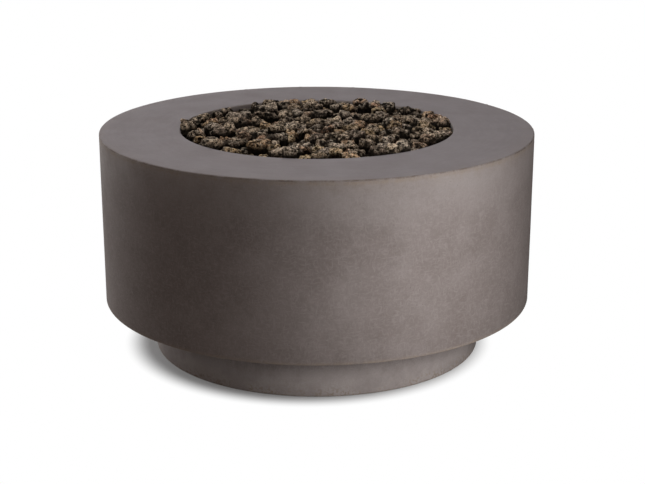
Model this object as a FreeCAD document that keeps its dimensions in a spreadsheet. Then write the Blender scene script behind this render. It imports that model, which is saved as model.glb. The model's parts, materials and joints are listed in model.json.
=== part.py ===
import FreeCAD, Part
import math
import os
import random
from types import SimpleNamespace

import Sketcher

# A gas fire bowl: a concrete drum with a flat rim stands on a set-back concrete plinth.
# The origin is on the floor under the drum's axis, +Z is up and the front faces -Y.

# Driving sizes, in millimetres and counts
SIZES = {
    # Drum
    "drum_diameter": 1067,
    "drum_height": 421,
    "drum_wall": 38,
    "rim_thickness": 45,
    "opening_diameter": 673,
    "arris_radius": 4,
    "haunch_radius": 20,
    # Plinth
    "plinth_diameter": 820,
    "plinth_height": 127,
    "plinth_wall": 60,
    # Floor plate and the angle brackets that hang the drum on it
    "plate_thickness": 8,
    "plate_edge_gap": 2,
    "vent_edge": 10,
    "vent_count": 12,
    "bracket_count": 6,
    "bracket_leg": 60,
    "bracket_width": 50,
    "bracket_thickness": 6,
    # Structural bolts and the sleeves cast in for them
    "bolt_diameter": 8,
    "bolt_head_across": 13,
    "bolt_head_height": 5.3,
    "insert_diameter": 14,
    "insert_length": 26,
    "rim_bolt_count": 8,
    # Burner pan, hung in the opening
    "ring_thickness": 6,
    "ring_bearing": 60,
    "gasket_thickness": 3,
    "pan_flange_width": 22,
    "pan_clearance": 2,
    "pan_depth": 92,
    "pan_sheet": 2,
    "drain_count": 12,
    "drain_diameter": 8,
    "drain_inset": 36,
    # Burner
    "burner_ring_diameter": 460,
    "inner_ring_diameter": 230,
    "burner_tube_diameter": 21,
    "burner_tube_wall": 1.5,
    "burner_stand": 32,
    "spoke_count": 4,
    "hub_diameter": 50,
    "hub_height": 36,
    "hub_cap": 6,
    "port_diameter": 3,
    "port_count": 36,
    "saddle_lip": 2,
    "saddle_length": 20,
    # Gas feed
    "nipple_diameter": 21.3,
    "nipple_bore": 15.8,
    "nipple_engagement": 14,
    "orifice_diameter": 3.6,
    "orifice_length": 12,
    "locknut_across": 36,
    "locknut_height": 8,
    "elbow_drop": 70,
    "elbow_diameter": 32,
    "elbow_leg": 34,
    "pipe_diameter": 16,
    "pipe_wall": 1.2,
    "pipe_bend_radius": 70,
    "pipe_engagement": 14,
    "pipe_nut_across": 27,
    "pipe_nut_height": 16,
    # Key valve behind the plinth wall
    "key_drop": 52,
    "valve_diameter": 40,
    "valve_half_length": 34,
    "valve_cavity_diameter": 30,
    "valve_bore": 16,
    "ball_diameter": 26,
    "seat_depth": 17,
    "end_cap_height": 12,
    "inlet_diameter": 18.6,
    "inlet_depth": 16,
    "bonnet_diameter": 28,
    "bonnet_length": 24,
    "neck_diameter": 18,
    "neck_length": 14,
    "gland_nut_across": 27,
    "gland_nut_height": 8,
    "stem_diameter": 12,
    "stem_length": 48,
    "stem_square": 8,
    "stem_square_length": 16,
    "tang_thickness": 5,
    "tang_width": 11,
    "tang_depth": 4,
    "seal_section": 1.4,
    # Bracket, sleeve and escutcheon of the valve
    "valve_pad_depth": 9,
    "valve_pad_width": 124,
    "valve_pad_height": 60,
    "valve_bracket_depth": 42,
    "valve_bracket_width": 64,
    "valve_bracket_foot": 28,
    "valve_bracket_height": 44,
    "valve_bracket_sheet": 3,
    "small_bolt_diameter": 5,
    "small_head_across": 8,
    "small_head_height": 3.5,
    "small_insert_diameter": 9,
    "small_insert_length": 18,
    "sleeve_diameter": 24,
    "sleeve_bore": 18,
    "escutcheon_diameter": 68,
    "escutcheon_thickness": 4,
    "escutcheon_inset": 3,
    "escutcheon_edge": 1.5,
    "escutcheon_screw_spacing": 50,
    # Loose key
    "key_diameter": 14,
    "key_reach": 48,
    "key_bar_diameter": 10,
    "key_bar_length": 70,
    # Levelling feet
    "foot_count": 4,
    "foot_pad_diameter": 40,
    "foot_pad_height": 8,
    "foot_stud_diameter": 12,
    "foot_stud_length": 46,
    "foot_insert_diameter": 20,
    "foot_insert_length": 40,
    # Lava rock
    "stone_pitch": 35,
    "bed_lip": 4,
    "stone_gap": 0.6,
    "stone_edge_gap": 1.5,
    # Clearances
    "fit_clearance": 0.1,
    "running_clearance": 0.05,
    "socket_clearance": 0.15,
    "seat_clearance": 0.3,
    "burner_gap": 2,
}

# Where the feet start, in degrees from +X
FOOT_TURN = 45

# How the stones vary: shares of their pitch, or of the depth of their layer
STONE_SEED = 41
STONE_FACETS = 16
STONE_SHAKE = 0.30
ROW_INSET = 0.48
ROW_SHAKE = 0.2
ROW_SPACING = 0.85
NEIGHBOUR_REACH = 2.2
HALF_WIDTH_SHARE = (0.50, 0.66)
HALF_HEIGHT_SHARE = (0.44, 0.60)
CENTRE_SHARE = (0.38, 0.62)
FACET_REACH_SHARE = (0.86, 1.0)
TOP_LEAN = 0.25
SHORTEST_EDGE = 0.8

SAME_PLACE = 1e-6

doc = FreeCAD.newDocument("fire_bowl")
sheet = doc.addObject("Spreadsheet::Sheet", "Sizes")
for row, (alias, amount) in enumerate(SIZES.items(), 1):
    sheet.set(f"A{row}", alias)
    sheet.set(f"B{row}", str(amount))
    sheet.setAlias(f"B{row}", alias)
doc.recompute()


class Formula:
    """A dimension worked out from the sheet, kept as the text of an expression."""

    def __init__(self, text):
        self.text = text

    def join(self, sign, other):
        return Formula(f"({self.text} {sign} {text_of(other)})")

    def __add__(self, other):
        return self.join("+", other)

    def __sub__(self, other):
        return self.join("-", other)

    def __mul__(self, other):
        return self.join("*", other)

    def __truediv__(self, other):
        return self.join("/", other)

    def __neg__(self):
        return Formula(f"(0 - {self.text})")

    __radd__ = __add__
    __rmul__ = __mul__


def text_of(amount):
    return amount.text if isinstance(amount, Formula) else repr(amount)


def number_of(amount):
    return float(sheet.evalExpression(amount.text)) if isinstance(amount, Formula) else float(amount)


def larger(first, second):
    return Formula(f"max({first.text}; {second.text})")


def chord_depth(radius, half_width):
    """Distance from a circle's centre to a chord of the given half width."""
    return Formula(f"sqrt({radius.text}^2 - {half_width.text}^2)")


size = SimpleNamespace(**{alias: Formula(f"Sizes.{alias}") for alias in SIZES})

# Drum and plinth
drum_r = size.drum_diameter / 2
drum_inner_r = drum_r - size.drum_wall
opening_r = size.opening_diameter / 2
plinth_r = size.plinth_diameter / 2
plinth_inner_r = plinth_r - size.plinth_wall
plinth_top = size.plinth_height
rim_top = plinth_top + size.drum_height
rim_under = rim_top - size.rim_thickness

# Fasteners
bolt_r = size.bolt_diameter / 2
bolt_hole_r = bolt_r + size.fit_clearance
insert_r = size.insert_diameter / 2
insert_hole_r = insert_r + size.fit_clearance
small_bolt_r = size.small_bolt_diameter / 2
small_hole_r = small_bolt_r + size.fit_clearance
small_insert_r = size.small_insert_diameter / 2

# Floor plate and brackets
plate_top = plinth_top + size.plate_thickness
plate_outer_r = drum_inner_r - size.plate_edge_gap
plate_inner_r = plinth_inner_r + size.plate_edge_gap
plinth_bolt_r = (plinth_r + plinth_inner_r) / 2
vent_circle_r = (plinth_r + plate_outer_r) / 2
vent_r = (plate_outer_r - plinth_r) / 2 - size.vent_edge
bracket_face = chord_depth(drum_inner_r, size.bracket_width / 2) - size.seat_clearance
bracket_bolt_r = bracket_face - size.bracket_leg / 2
wall_bolt_z = plate_top + size.bracket_leg / 2 + size.bracket_thickness

# Burner pan
ring_under = rim_under - size.ring_thickness
ring_outer_r = opening_r + size.ring_bearing
rim_bolt_r = opening_r + size.ring_bearing / 2
flange_r = opening_r - size.pan_clearance
pan_r = flange_r - size.pan_flange_width
ring_inner_r = pan_r + size.pan_clearance
flange_under = rim_under + size.gasket_thickness
flange_top = flange_under + size.pan_sheet
pan_under = flange_top - size.pan_depth
pan_floor = pan_under + size.pan_sheet

# Burner and the pipework under it
tube_r = size.burner_tube_diameter / 2
tube_bore_r = tube_r - size.burner_tube_wall
burner_r = size.burner_ring_diameter / 2
inner_ring_r = size.inner_ring_diameter / 2
burner_z = pan_floor + size.burner_stand
hub_r = size.hub_diameter / 2
hub_top = burner_z + size.hub_height / 2
hub_bottom = burner_z - size.hub_height / 2
nipple_r = size.nipple_diameter / 2
nipple_bore_r = size.nipple_bore / 2
nipple_hole_r = nipple_r + size.fit_clearance
nipple_top = hub_bottom + size.nipple_engagement
locknut_corner_r = size.locknut_across / math.sqrt(3)
saddle_half_width = tube_r + size.saddle_lip
pipe_z = pan_under - size.elbow_drop
elbow_top = pipe_z + size.elbow_leg
elbow_r = size.elbow_diameter / 2
nipple_bottom = elbow_top - size.nipple_engagement
pipe_r = size.pipe_diameter / 2
pipe_bore_r = pipe_r - size.pipe_wall
pipe_hole_r = pipe_r + size.fit_clearance

# Key valve, in a frame whose origin is the ball's centre and whose +Y points out of the plinth
key_z = plinth_top - size.key_drop
valve_pad_y = plinth_inner_r - size.valve_pad_depth
valve_y = valve_pad_y - size.valve_bracket_depth - size.bonnet_length
ball_r = size.ball_diameter / 2
cavity_r = size.valve_cavity_diameter / 2
stem_r = size.stem_diameter / 2
neck_end = size.bonnet_length + size.neck_length
pad_from_valve = valve_pad_y - valve_y
seat_from_valve = plinth_r - size.escutcheon_inset - valve_y
escutcheon_face = seat_from_valve + size.escutcheon_thickness
outlet_z = key_z + size.valve_half_length
valve_bolt_x = size.valve_bracket_width / 2 + size.valve_bracket_foot / 2
sleeve_r = size.sleeve_diameter / 2
sleeve_bore_r = size.sleeve_bore / 2
escutcheon_screw_x = size.escutcheon_screw_spacing / 2

# Levelling feet
foot_count = int(number_of(size.foot_count))
foot_circle_r = plinth_bolt_r
foot_stud_r = size.foot_stud_diameter / 2
foot_pocket_r = size.foot_pad_diameter / 2 + size.seat_clearance
foot_pocket_top = size.foot_pad_height + size.seat_clearance
foot_hole_top = foot_pocket_top + larger(size.foot_insert_length, size.foot_stud_length)

# Lava rock
bed_top = flange_top + size.seat_clearance + size.bed_lip
bed_r = opening_r - size.stone_edge_gap


def new_body(label, apart=False):
    """A body of one solid, or of several separate ones."""
    body = doc.addObject("PartDesign::Body", label)
    body.Label = label
    body.AllowCompound = apart
    return body


def move_body(body, **places):
    for axis, amount in places.items():
        body.setExpression(f"Placement.Base.{axis}", amount.text)
    return body


def origin_item(body, role):
    return next(item for item in body.Origin.OriginFeatures if item.Role == role)


def sketch_on(body, role, offset=None):
    """A sketch on an origin plane of its body, shifted along the plane's normal."""
    sketch = body.newObject("Sketcher::SketchObject", f"{body.Label}_sketch")
    sketch.AttachmentSupport = [(origin_item(body, role), "")]
    sketch.MapMode = "FlatFace"
    if offset is not None:
        sketch.setExpression("AttachmentOffset.Base.z", offset.text)
    return sketch


def bind_constraint(sketch, amount, kind, *places):
    index = sketch.addConstraint(Sketcher.Constraint(kind, *places, number_of(amount)))
    if isinstance(amount, Formula):
        sketch.setExpression(f"Constraints[{index}]", amount.text)


def pin_point(sketch, curve, end, across, along):
    """Hold one point of a curve at its distances from the sketch's origin."""
    bind_constraint(sketch, across, "DistanceX", -1, 1, curve, end)
    bind_constraint(sketch, along, "DistanceY", -1, 1, curve, end)


def draw_outline(sketch, corners):
    """Draw a closed outline through corners given as pairs of sizes."""
    points = [FreeCAD.Vector(number_of(across), number_of(along), 0) for across, along in corners]
    lines = [
        sketch.addGeometry(Part.LineSegment(point, points[(index + 1) % len(points)]))
        for index, point in enumerate(points)
    ]
    for index, line in enumerate(lines):
        sketch.addConstraint(Sketcher.Constraint("Coincident", line, 2, lines[(index + 1) % len(lines)], 1))
        pin_point(sketch, line, 1, *corners[index])


def draw_circle(sketch, across, along, radius):
    centre = FreeCAD.Vector(number_of(across), number_of(along), 0)
    circle = Part.Circle(centre, FreeCAD.Vector(0, 0, 1), number_of(radius))
    curve = sketch.addGeometry(circle)
    pin_point(sketch, curve, 3, across, along)
    bind_constraint(sketch, radius, "Radius", curve)


def hexagon(across, along, flats):
    """Corners of a hexagon about a centre, given its size across flats."""
    corner_r = flats / math.sqrt(3)
    turns = [math.radians(60 * step) for step in range(6)]
    return [(corner_r * math.cos(turn) + across, corner_r * math.sin(turn) + along) for turn in turns]


def rectangle(left, low, right, high):
    return [(left, low), (right, low), (right, high), (left, high)]


def turn_profile(body, corners, role="XZ_Plane", axis="V_Axis", kind="Revolution"):
    """Turn an outline all the way round an axis of its sketch, to add or to cut."""
    sketch = sketch_on(body, role)
    draw_outline(sketch, corners)
    feature = body.newObject(f"PartDesign::{kind}", f"{body.Label}_turned")
    feature.Profile = sketch
    feature.ReferenceAxis = (sketch, [axis])
    feature.Angle = 360
    return feature


def turn_circle(body, ring_r, height, radius, kind="Revolution"):
    """Turn a circle round +Z, which makes or cuts a round ring."""
    sketch = sketch_on(body, "XZ_Plane")
    draw_circle(sketch, ring_r, height, radius)
    feature = body.newObject(f"PartDesign::{kind}", f"{body.Label}_ring")
    feature.Profile = sketch
    feature.ReferenceAxis = (sketch, ["V_Axis"])
    feature.Angle = 360
    return feature


def extrude(body, kind, sketch, length, towards=1, middle=False):
    """Pad or pocket a sketch along its normal, or against it where towards is -1."""
    feature = body.newObject(f"PartDesign::{kind}", f"{body.Label}_{kind.lower()}")
    feature.Profile = sketch
    feature.setExpression("Length", length.text)
    feature.Midplane = middle
    feature.Reversed = (towards < 0) if kind == "Pad" else (towards > 0)
    return feature


def repeat_round(body, features, count):
    pattern = body.newObject("PartDesign::PolarPattern", f"{body.Label}_pattern")
    pattern.Originals = features
    pattern.Axis = (origin_item(body, "Z_Axis"), [""])
    pattern.Angle = 360
    pattern.setExpression("Occurrences", count.text)
    body.Tip = pattern
    return pattern


def round_edges(body, base, radius, places):
    """Round the circular edges that lie at the given radii and heights."""
    doc.recompute()
    wanted = [(number_of(ring_r), number_of(height)) for ring_r, height in places]
    names = []
    for index, edge in enumerate(base.Shape.Edges, 1):
        if not isinstance(edge.Curve, Part.Circle):
            continue
        place = (edge.Curve.Radius, edge.Curve.Center.z)
        if any(math.dist(place, target) < SAME_PLACE for target in wanted):
            names.append(f"Edge{index}")
    fillet = body.newObject("PartDesign::Fillet", f"{body.Label}_rounded")
    fillet.Base = (base, names)
    fillet.setExpression("Radius", radius.text)
    return fillet


def drill_up(body, height, ring_r, radius, depth, count, angle=0):
    """Drill upright holes round +Z, from a height along +Z; a negative depth drills down."""
    return drill(body, "XY_Plane", height, polar(ring_r, angle), radius, depth, count)


def polar(ring_r, angle):
    turn = math.radians(angle)
    return ring_r * math.cos(turn), ring_r * math.sin(turn)


def half_pitch(count):
    """The turn from one copy of a round pattern to midway towards the next."""
    return 180 / number_of(count)


def drill(body, role, offset, centre, radius, depth, count, towards=1):
    sketch = sketch_on(body, role, offset)
    draw_circle(sketch, *centre, radius)
    pocket = extrude(body, "Pocket", sketch, depth, towards)
    return repeat_round(body, [pocket], count)


def ring_piece(label, inner_r, outer_r, low, high):
    """A plain ring about +Z."""
    body = new_body(label)
    turn_profile(body, rectangle(inner_r, low, outer_r, high))
    return body


def cylinders(label, role, offset, centres, outer_r, bore_r, length, towards=1):
    """Separate round rods, or sleeves where a bore is given, standing on one plane."""
    body = new_body(label, apart=True)
    sketch = sketch_on(body, role, offset)
    for centre in centres:
        draw_circle(sketch, *centre, outer_r)
        if bore_r is not None:
            draw_circle(sketch, *centre, bore_r)
    return body, extrude(body, "Pad", sketch, length, towards)


def round_inserts(label, role, offset, centre, count, towards=1):
    """Cast-in threaded sleeves, set round +Z."""
    body, sleeve = cylinders(label, role, offset, [centre], insert_r, bolt_hole_r,
                             size.insert_length, towards)
    repeat_round(body, [sleeve], count)
    return body


def round_bolts(label, role, seat, centre, grip, count, towards):
    """Hexagon bolts set round +Z, with their heads seated on a plane and their shanks beyond it."""
    body = new_body(label, apart=True)
    head_sketch = sketch_on(body, role, seat)
    draw_outline(head_sketch, hexagon(*centre, size.bolt_head_across))
    head = extrude(body, "Pad", head_sketch, size.bolt_head_height, -towards)
    shank_sketch = sketch_on(body, role, seat)
    draw_circle(shank_sketch, *centre, bolt_r)
    shank = extrude(body, "Pad", shank_sketch, grip, towards)
    repeat_round(body, [head, shank], count)
    return body


def drum_shell():
    body = new_body("drum_shell")
    shell = turn_profile(body, [
        (drum_r, plinth_top),
        (drum_r, rim_top),
        (opening_r, rim_top),
        (opening_r, rim_under),
        (drum_inner_r, rim_under),
        (drum_inner_r, plinth_top),
    ])
    arris = [(drum_r, plinth_top), (drum_r, rim_top), (opening_r, rim_top)]
    edges = round_edges(body, shell, size.arris_radius, arris)
    round_edges(body, edges, size.haunch_radius, [(drum_inner_r, rim_under)])
    drill(body, "YZ_Plane", bracket_face, (0, wall_bolt_z), insert_hole_r,
          drum_inner_r - bracket_face + size.insert_length, size.bracket_count)
    drill_up(body, rim_under, rim_bolt_r, insert_hole_r, size.insert_length, size.rim_bolt_count)
    return body


def plinth_ring():
    body = new_body("plinth_ring")
    ring = turn_profile(body, rectangle(plinth_inner_r, 0, plinth_r, plinth_top))
    round_edges(body, ring, size.arris_radius, [(plinth_r, 0), (plinth_r, plinth_top)])
    pad_sketch = sketch_on(body, "XZ_Plane", -valve_pad_y)
    half_width = size.valve_pad_width / 2
    half_height = size.valve_pad_height / 2
    draw_outline(pad_sketch, rectangle(-half_width, key_z - half_height, half_width, key_z + half_height))
    extrude(body, "Pad", pad_sketch, size.valve_pad_depth + size.plinth_wall / 4, -1)
    cut_across(body, valve_pad_y, [(0, key_z)], sleeve_r + size.fit_clearance, size.plinth_wall * 2, -1)
    cut_across(body, valve_y + seat_from_valve, [(0, key_z)],
               size.escutcheon_diameter / 2 + size.seat_clearance, size.plinth_wall, -1)
    cut_across(body, valve_pad_y, [(-valve_bolt_x, key_z), (valve_bolt_x, key_z)],
               small_insert_r + size.fit_clearance, size.small_insert_length, -1)
    cut_across(body, valve_y + seat_from_valve, [(-escutcheon_screw_x, key_z), (escutcheon_screw_x, key_z)],
               small_insert_r + size.fit_clearance, size.small_insert_length, 1)
    drill_up(body, plinth_top - size.insert_length, plinth_bolt_r, insert_hole_r,
             size.insert_length, size.bracket_count, half_pitch(size.bracket_count))
    foot_place = polar(foot_circle_r, FOOT_TURN)
    drill(body, "XY_Plane", None, foot_place, foot_pocket_r, foot_pocket_top, size.foot_count)
    drill(body, "XY_Plane", None, foot_place, size.foot_insert_diameter / 2 + size.fit_clearance,
          foot_hole_top, size.foot_count)
    return body


def cut_across(body, from_y, centres, radius, depth, towards):
    """Cut round holes along Y from a plane, outwards where towards is -1."""
    sketch = sketch_on(body, "XZ_Plane", -from_y)
    for centre in centres:
        draw_circle(sketch, *centre, radius)
    return extrude(body, "Pocket", sketch, depth, towards)


def floor_plate():
    body = new_body("floor_plate")
    turn_profile(body, rectangle(plate_inner_r, plinth_top, plate_outer_r, plate_top))
    drill_up(body, plinth_top, plinth_bolt_r, bolt_hole_r, size.plate_thickness,
             size.bracket_count, half_pitch(size.bracket_count))
    drill_up(body, plinth_top, bracket_bolt_r, bolt_hole_r, size.plate_thickness, size.bracket_count)
    drill_up(body, plinth_top, vent_circle_r, vent_r, size.plate_thickness,
             size.vent_count, half_pitch(size.vent_count))
    return body


def drum_brackets():
    body = new_body("drum_brackets", apart=True)
    sketch = sketch_on(body, "XZ_Plane")
    leg_end = bracket_face - size.bracket_leg
    leg_top = plate_top + size.bracket_leg
    draw_outline(sketch, [
        (leg_end, plate_top),
        (bracket_face, plate_top),
        (bracket_face, leg_top),
        (bracket_face - size.bracket_thickness, leg_top),
        (bracket_face - size.bracket_thickness, plate_top + size.bracket_thickness),
        (leg_end, plate_top + size.bracket_thickness),
    ])
    angle = extrude(body, "Pad", sketch, size.bracket_width, middle=True)
    wall_sketch = sketch_on(body, "YZ_Plane", bracket_face - size.bracket_thickness)
    draw_circle(wall_sketch, 0, wall_bolt_z, bolt_hole_r)
    wall_hole = extrude(body, "Pocket", wall_sketch, size.bracket_thickness)
    plate_sketch = sketch_on(body, "XY_Plane", plate_top)
    draw_circle(plate_sketch, bracket_bolt_r, 0, bolt_hole_r)
    plate_hole = extrude(body, "Pocket", plate_sketch, size.bracket_thickness)
    repeat_round(body, [angle, wall_hole, plate_hole], size.bracket_count)
    return body


def drum_fasteners():
    """Bolts and cast-in sleeves that tie drum, plate, plinth and pan ring together."""
    wall_seat = bracket_face - size.bracket_thickness
    plinth_bolt_place = polar(plinth_bolt_r, half_pitch(size.bracket_count))
    return [
        round_inserts("wall_inserts", "YZ_Plane", drum_inner_r, (0, wall_bolt_z), size.bracket_count),
        round_bolts("wall_bolts", "YZ_Plane", wall_seat, (0, wall_bolt_z),
                    drum_inner_r + size.insert_length / 2 - wall_seat, size.bracket_count, 1),
        round_bolts("bracket_bolts", "XY_Plane", plate_top + size.bracket_thickness, (bracket_bolt_r, 0),
                    size.bracket_thickness + size.plate_thickness, size.bracket_count, -1),
        round_inserts("plinth_inserts", "XY_Plane", plinth_top, plinth_bolt_place, size.bracket_count, -1),
        round_bolts("plinth_bolts", "XY_Plane", plate_top, plinth_bolt_place,
                    size.plate_thickness + size.insert_length / 2, size.bracket_count, -1),
        round_inserts("rim_inserts", "XY_Plane", rim_under, (rim_bolt_r, 0), size.rim_bolt_count),
        round_bolts("rim_bolts", "XY_Plane", ring_under, (rim_bolt_r, 0),
                    size.ring_thickness + size.insert_length / 2, size.rim_bolt_count, 1),
    ]


def pan_support_ring():
    body = ring_piece("pan_support_ring", ring_inner_r, ring_outer_r, ring_under, rim_under)
    drill_up(body, ring_under, rim_bolt_r, bolt_hole_r, size.ring_thickness, size.rim_bolt_count)
    return body


def burner_pan():
    body = new_body("burner_pan")
    wall_inner_r = pan_r - size.pan_sheet
    turn_profile(body, [
        (nipple_hole_r, pan_under),
        (pan_r, pan_under),
        (pan_r, flange_under),
        (flange_r, flange_under),
        (flange_r, flange_top),
        (wall_inner_r, flange_top),
        (wall_inner_r, pan_floor),
        (nipple_hole_r, pan_floor),
    ])
    drill_up(body, pan_under, pan_r - size.drain_inset, size.drain_diameter / 2,
             size.pan_sheet, size.drain_count)
    return body


def burner_ring():
    """Two drilled tube rings on hollow spokes, welded to a hub that is closed on top."""
    body = new_body("burner_ring")
    turn_profile(body, [
        (nipple_hole_r, hub_bottom),
        (hub_r, hub_bottom),
        (hub_r, hub_top),
        (0, hub_top),
        (0, hub_top - size.hub_cap),
        (nipple_hole_r, hub_top - size.hub_cap),
    ])
    wall_middle = (nipple_hole_r + hub_r) / 2
    spoke_sketch = sketch_on(body, "YZ_Plane", wall_middle)
    draw_circle(spoke_sketch, 0, burner_z, tube_r)
    spoke = extrude(body, "Pad", spoke_sketch, burner_r - wall_middle)
    repeat_round(body, [spoke], size.spoke_count)
    rings = (burner_r, inner_ring_r)
    for ring_r in rings:
        turn_circle(body, ring_r, burner_z, tube_r)
    for ring_r in rings:
        turn_circle(body, ring_r, burner_z, tube_bore_r, "Groove")
    drill(body, "YZ_Plane", None, (0, burner_z), tube_bore_r, burner_r, size.spoke_count)
    for ring_r in rings:
        drill_up(body, burner_z, ring_r, size.port_diameter / 2, tube_r, size.port_count,
                 half_pitch(size.port_count))
    return body


def burner_saddles():
    body = new_body("burner_saddles", apart=True)
    middle_r = (burner_r + inner_ring_r) / 2
    sketch = sketch_on(body, "YZ_Plane", middle_r - size.saddle_length / 2)
    draw_outline(sketch, rectangle(-saddle_half_width, pan_floor, saddle_half_width, burner_z))
    block = extrude(body, "Pad", sketch, size.saddle_length)
    cradle_sketch = sketch_on(body, "YZ_Plane")
    draw_circle(cradle_sketch, 0, burner_z, tube_r + size.fit_clearance)
    cradle = extrude(body, "Pocket", cradle_sketch, burner_r)
    repeat_round(body, [block, cradle], size.spoke_count)
    return body


def pan_locknuts():
    """Two nuts that clamp the pan's floor on the nipple."""
    body = new_body("pan_locknuts", apart=True)
    for seat, towards in ((pan_floor, 1), (pan_under, -1)):
        sketch = sketch_on(body, "XY_Plane", seat)
        draw_outline(sketch, hexagon(0, 0, size.locknut_across))
        draw_circle(sketch, 0, 0, nipple_hole_r)
        extrude(body, "Pad", sketch, size.locknut_height, towards)
    return body


def gas_elbow():
    """A cast elbow from the upright nipple to the level pipe, made of primitives."""
    solid = [
        cylinder("elbow_upright", elbow_r, size.elbow_leg, pipe_z, upright=True),
        cylinder("elbow_level", elbow_r, size.elbow_leg, pipe_z),
        sphere("elbow_corner", elbow_r, pipe_z),
    ]
    hollow = [
        cylinder("elbow_upright_bore", nipple_bore_r, size.elbow_leg, pipe_z, upright=True),
        cylinder("elbow_level_bore", pipe_bore_r, size.elbow_leg, pipe_z),
        sphere("elbow_corner_bore", nipple_bore_r, pipe_z),
        cylinder("elbow_nipple_socket", nipple_hole_r, size.nipple_engagement, nipple_bottom, upright=True),
        cylinder("elbow_pipe_socket", pipe_hole_r, size.pipe_engagement, pipe_z,
                 start=size.elbow_leg - size.pipe_engagement),
    ]
    elbow = doc.addObject("Part::Cut", "gas_elbow")
    elbow.Label = "gas_elbow"
    elbow.Base = fuse("elbow_solid", solid)
    elbow.Tool = fuse("elbow_hollow", hollow)
    return elbow


def cylinder(label, radius, length, height, upright=False, start=None):
    """A cylinder along +Z from a height, or along +Y at that height from a start."""
    piece = doc.addObject("Part::Cylinder", label)
    piece.setExpression("Radius", radius.text)
    piece.setExpression("Height", length.text)
    if not upright:
        piece.Placement.Rotation = FreeCAD.Rotation(FreeCAD.Vector(1, 0, 0), -90)
    piece.setExpression("Placement.Base.z", height.text)
    if start is not None:
        piece.setExpression("Placement.Base.y", start.text)
    return piece


def sphere(label, radius, height):
    piece = doc.addObject("Part::Sphere", label)
    piece.setExpression("Radius", radius.text)
    piece.setExpression("Placement.Base.z", height.text)
    return piece


def fuse(label, pieces):
    union = doc.addObject("Part::MultiFuse", label)
    union.Shapes = pieces
    return union


def gas_feed_pipe():
    """A pipe from the valve's outlet up, round one bend and level to the elbow."""
    body = new_body("gas_feed_pipe")
    foot = outlet_z - size.pipe_engagement
    bend_low = pipe_z - size.pipe_bend_radius
    bend_y = valve_y - size.pipe_bend_radius
    level_end = size.elbow_leg - size.pipe_engagement
    route = sketch_on(body, "YZ_Plane")
    corners = [(valve_y, foot), (valve_y, bend_low), (bend_y, pipe_z), (level_end, pipe_z)]
    points = [FreeCAD.Vector(number_of(across), number_of(along), 0) for across, along in corners]
    centre = FreeCAD.Vector(points[2].x, points[1].y, 0)
    circle = Part.Circle(centre, FreeCAD.Vector(0, 0, 1), number_of(size.pipe_bend_radius))
    rise = route.addGeometry(Part.LineSegment(points[0], points[1]))
    bend = route.addGeometry(Part.ArcOfCircle(circle, 0, math.pi / 2))
    level = route.addGeometry(Part.LineSegment(points[2], points[3]))
    route.addConstraint(Sketcher.Constraint("Coincident", rise, 2, bend, 1))
    route.addConstraint(Sketcher.Constraint("Coincident", bend, 2, level, 1))
    for (curve, end), corner in zip(((rise, 1), (rise, 2), (level, 1), (level, 2)), corners):
        pin_point(route, curve, end, *corner)
    bind_constraint(route, bend_y, "DistanceX", -1, 1, bend, 3)
    section = sketch_on(body, "XY_Plane", foot)
    draw_circle(section, 0, valve_y, pipe_r)
    draw_circle(section, 0, valve_y, pipe_bore_r)
    pipe = body.newObject("PartDesign::AdditivePipe", "gas_feed_pipe_swept")
    pipe.Profile = section
    pipe.Spine = route
    return body


def pipe_nuts():
    body = new_body("pipe_nuts", apart=True)
    upright = sketch_on(body, "XY_Plane", outlet_z)
    draw_outline(upright, hexagon(0, valve_y, size.pipe_nut_across))
    draw_circle(upright, 0, valve_y, pipe_hole_r)
    extrude(body, "Pad", upright, size.pipe_nut_height)
    level = sketch_on(body, "XZ_Plane", -size.elbow_leg)
    draw_outline(level, hexagon(0, pipe_z, size.pipe_nut_across))
    draw_circle(level, 0, pipe_z, pipe_hole_r)
    extrude(body, "Pad", level, size.pipe_nut_height, -1)
    return body


def valve_group_body(label, apart=False):
    return move_body(new_body(label, apart), y=valve_y, z=key_z)


def valve_body():
    body = valve_group_body("valve_body")
    low = -size.valve_half_length
    turn_profile(body, rectangle(0, low, size.valve_diameter / 2, size.valve_half_length))
    rod_along_y(body, None, size.bonnet_diameter / 2, size.bonnet_length)
    rod_along_y(body, None, size.neck_diameter / 2, neck_end)
    turn_profile(body, [
        (0, low),
        (cavity_r, low),
        (cavity_r, size.seat_depth),
        (size.valve_bore / 2, size.seat_depth),
        (size.valve_bore / 2, size.valve_half_length - size.pipe_engagement),
        (pipe_hole_r, size.valve_half_length - size.pipe_engagement),
        (pipe_hole_r, size.valve_half_length),
        (0, size.valve_half_length),
    ], kind="Groove")
    stem_sketch = sketch_on(body, "XZ_Plane")
    draw_circle(stem_sketch, 0, 0, stem_r + size.running_clearance)
    extrude(body, "Pocket", stem_sketch, neck_end, -1)
    return body


def rod_along_y(body, start, radius, length):
    sketch = sketch_on(body, "XZ_Plane", None if start is None else -start)
    draw_circle(sketch, 0, 0, radius)
    return extrude(body, "Pad", sketch, length, -1)


def valve_end_cap():
    """A hexagon cap that closes the valve's cavity and takes the incoming gas line."""
    body = valve_group_body("valve_end_cap")
    plug_top = -size.seat_depth
    low = -size.valve_half_length
    mouth = low - size.end_cap_height
    sketch = sketch_on(body, "XY_Plane", mouth)
    draw_outline(sketch, hexagon(0, 0, size.valve_diameter))
    extrude(body, "Pad", sketch, size.end_cap_height)
    plug = sketch_on(body, "XY_Plane", low)
    draw_circle(plug, 0, 0, cavity_r - size.fit_clearance)
    extrude(body, "Pad", plug, plug_top - low)
    turn_profile(body, [
        (0, mouth),
        (size.inlet_diameter / 2, mouth),
        (size.inlet_diameter / 2, mouth + size.inlet_depth),
        (size.valve_bore / 2, mouth + size.inlet_depth),
        (size.valve_bore / 2, plug_top),
        (0, plug_top),
    ], kind="Groove")
    return body


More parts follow.
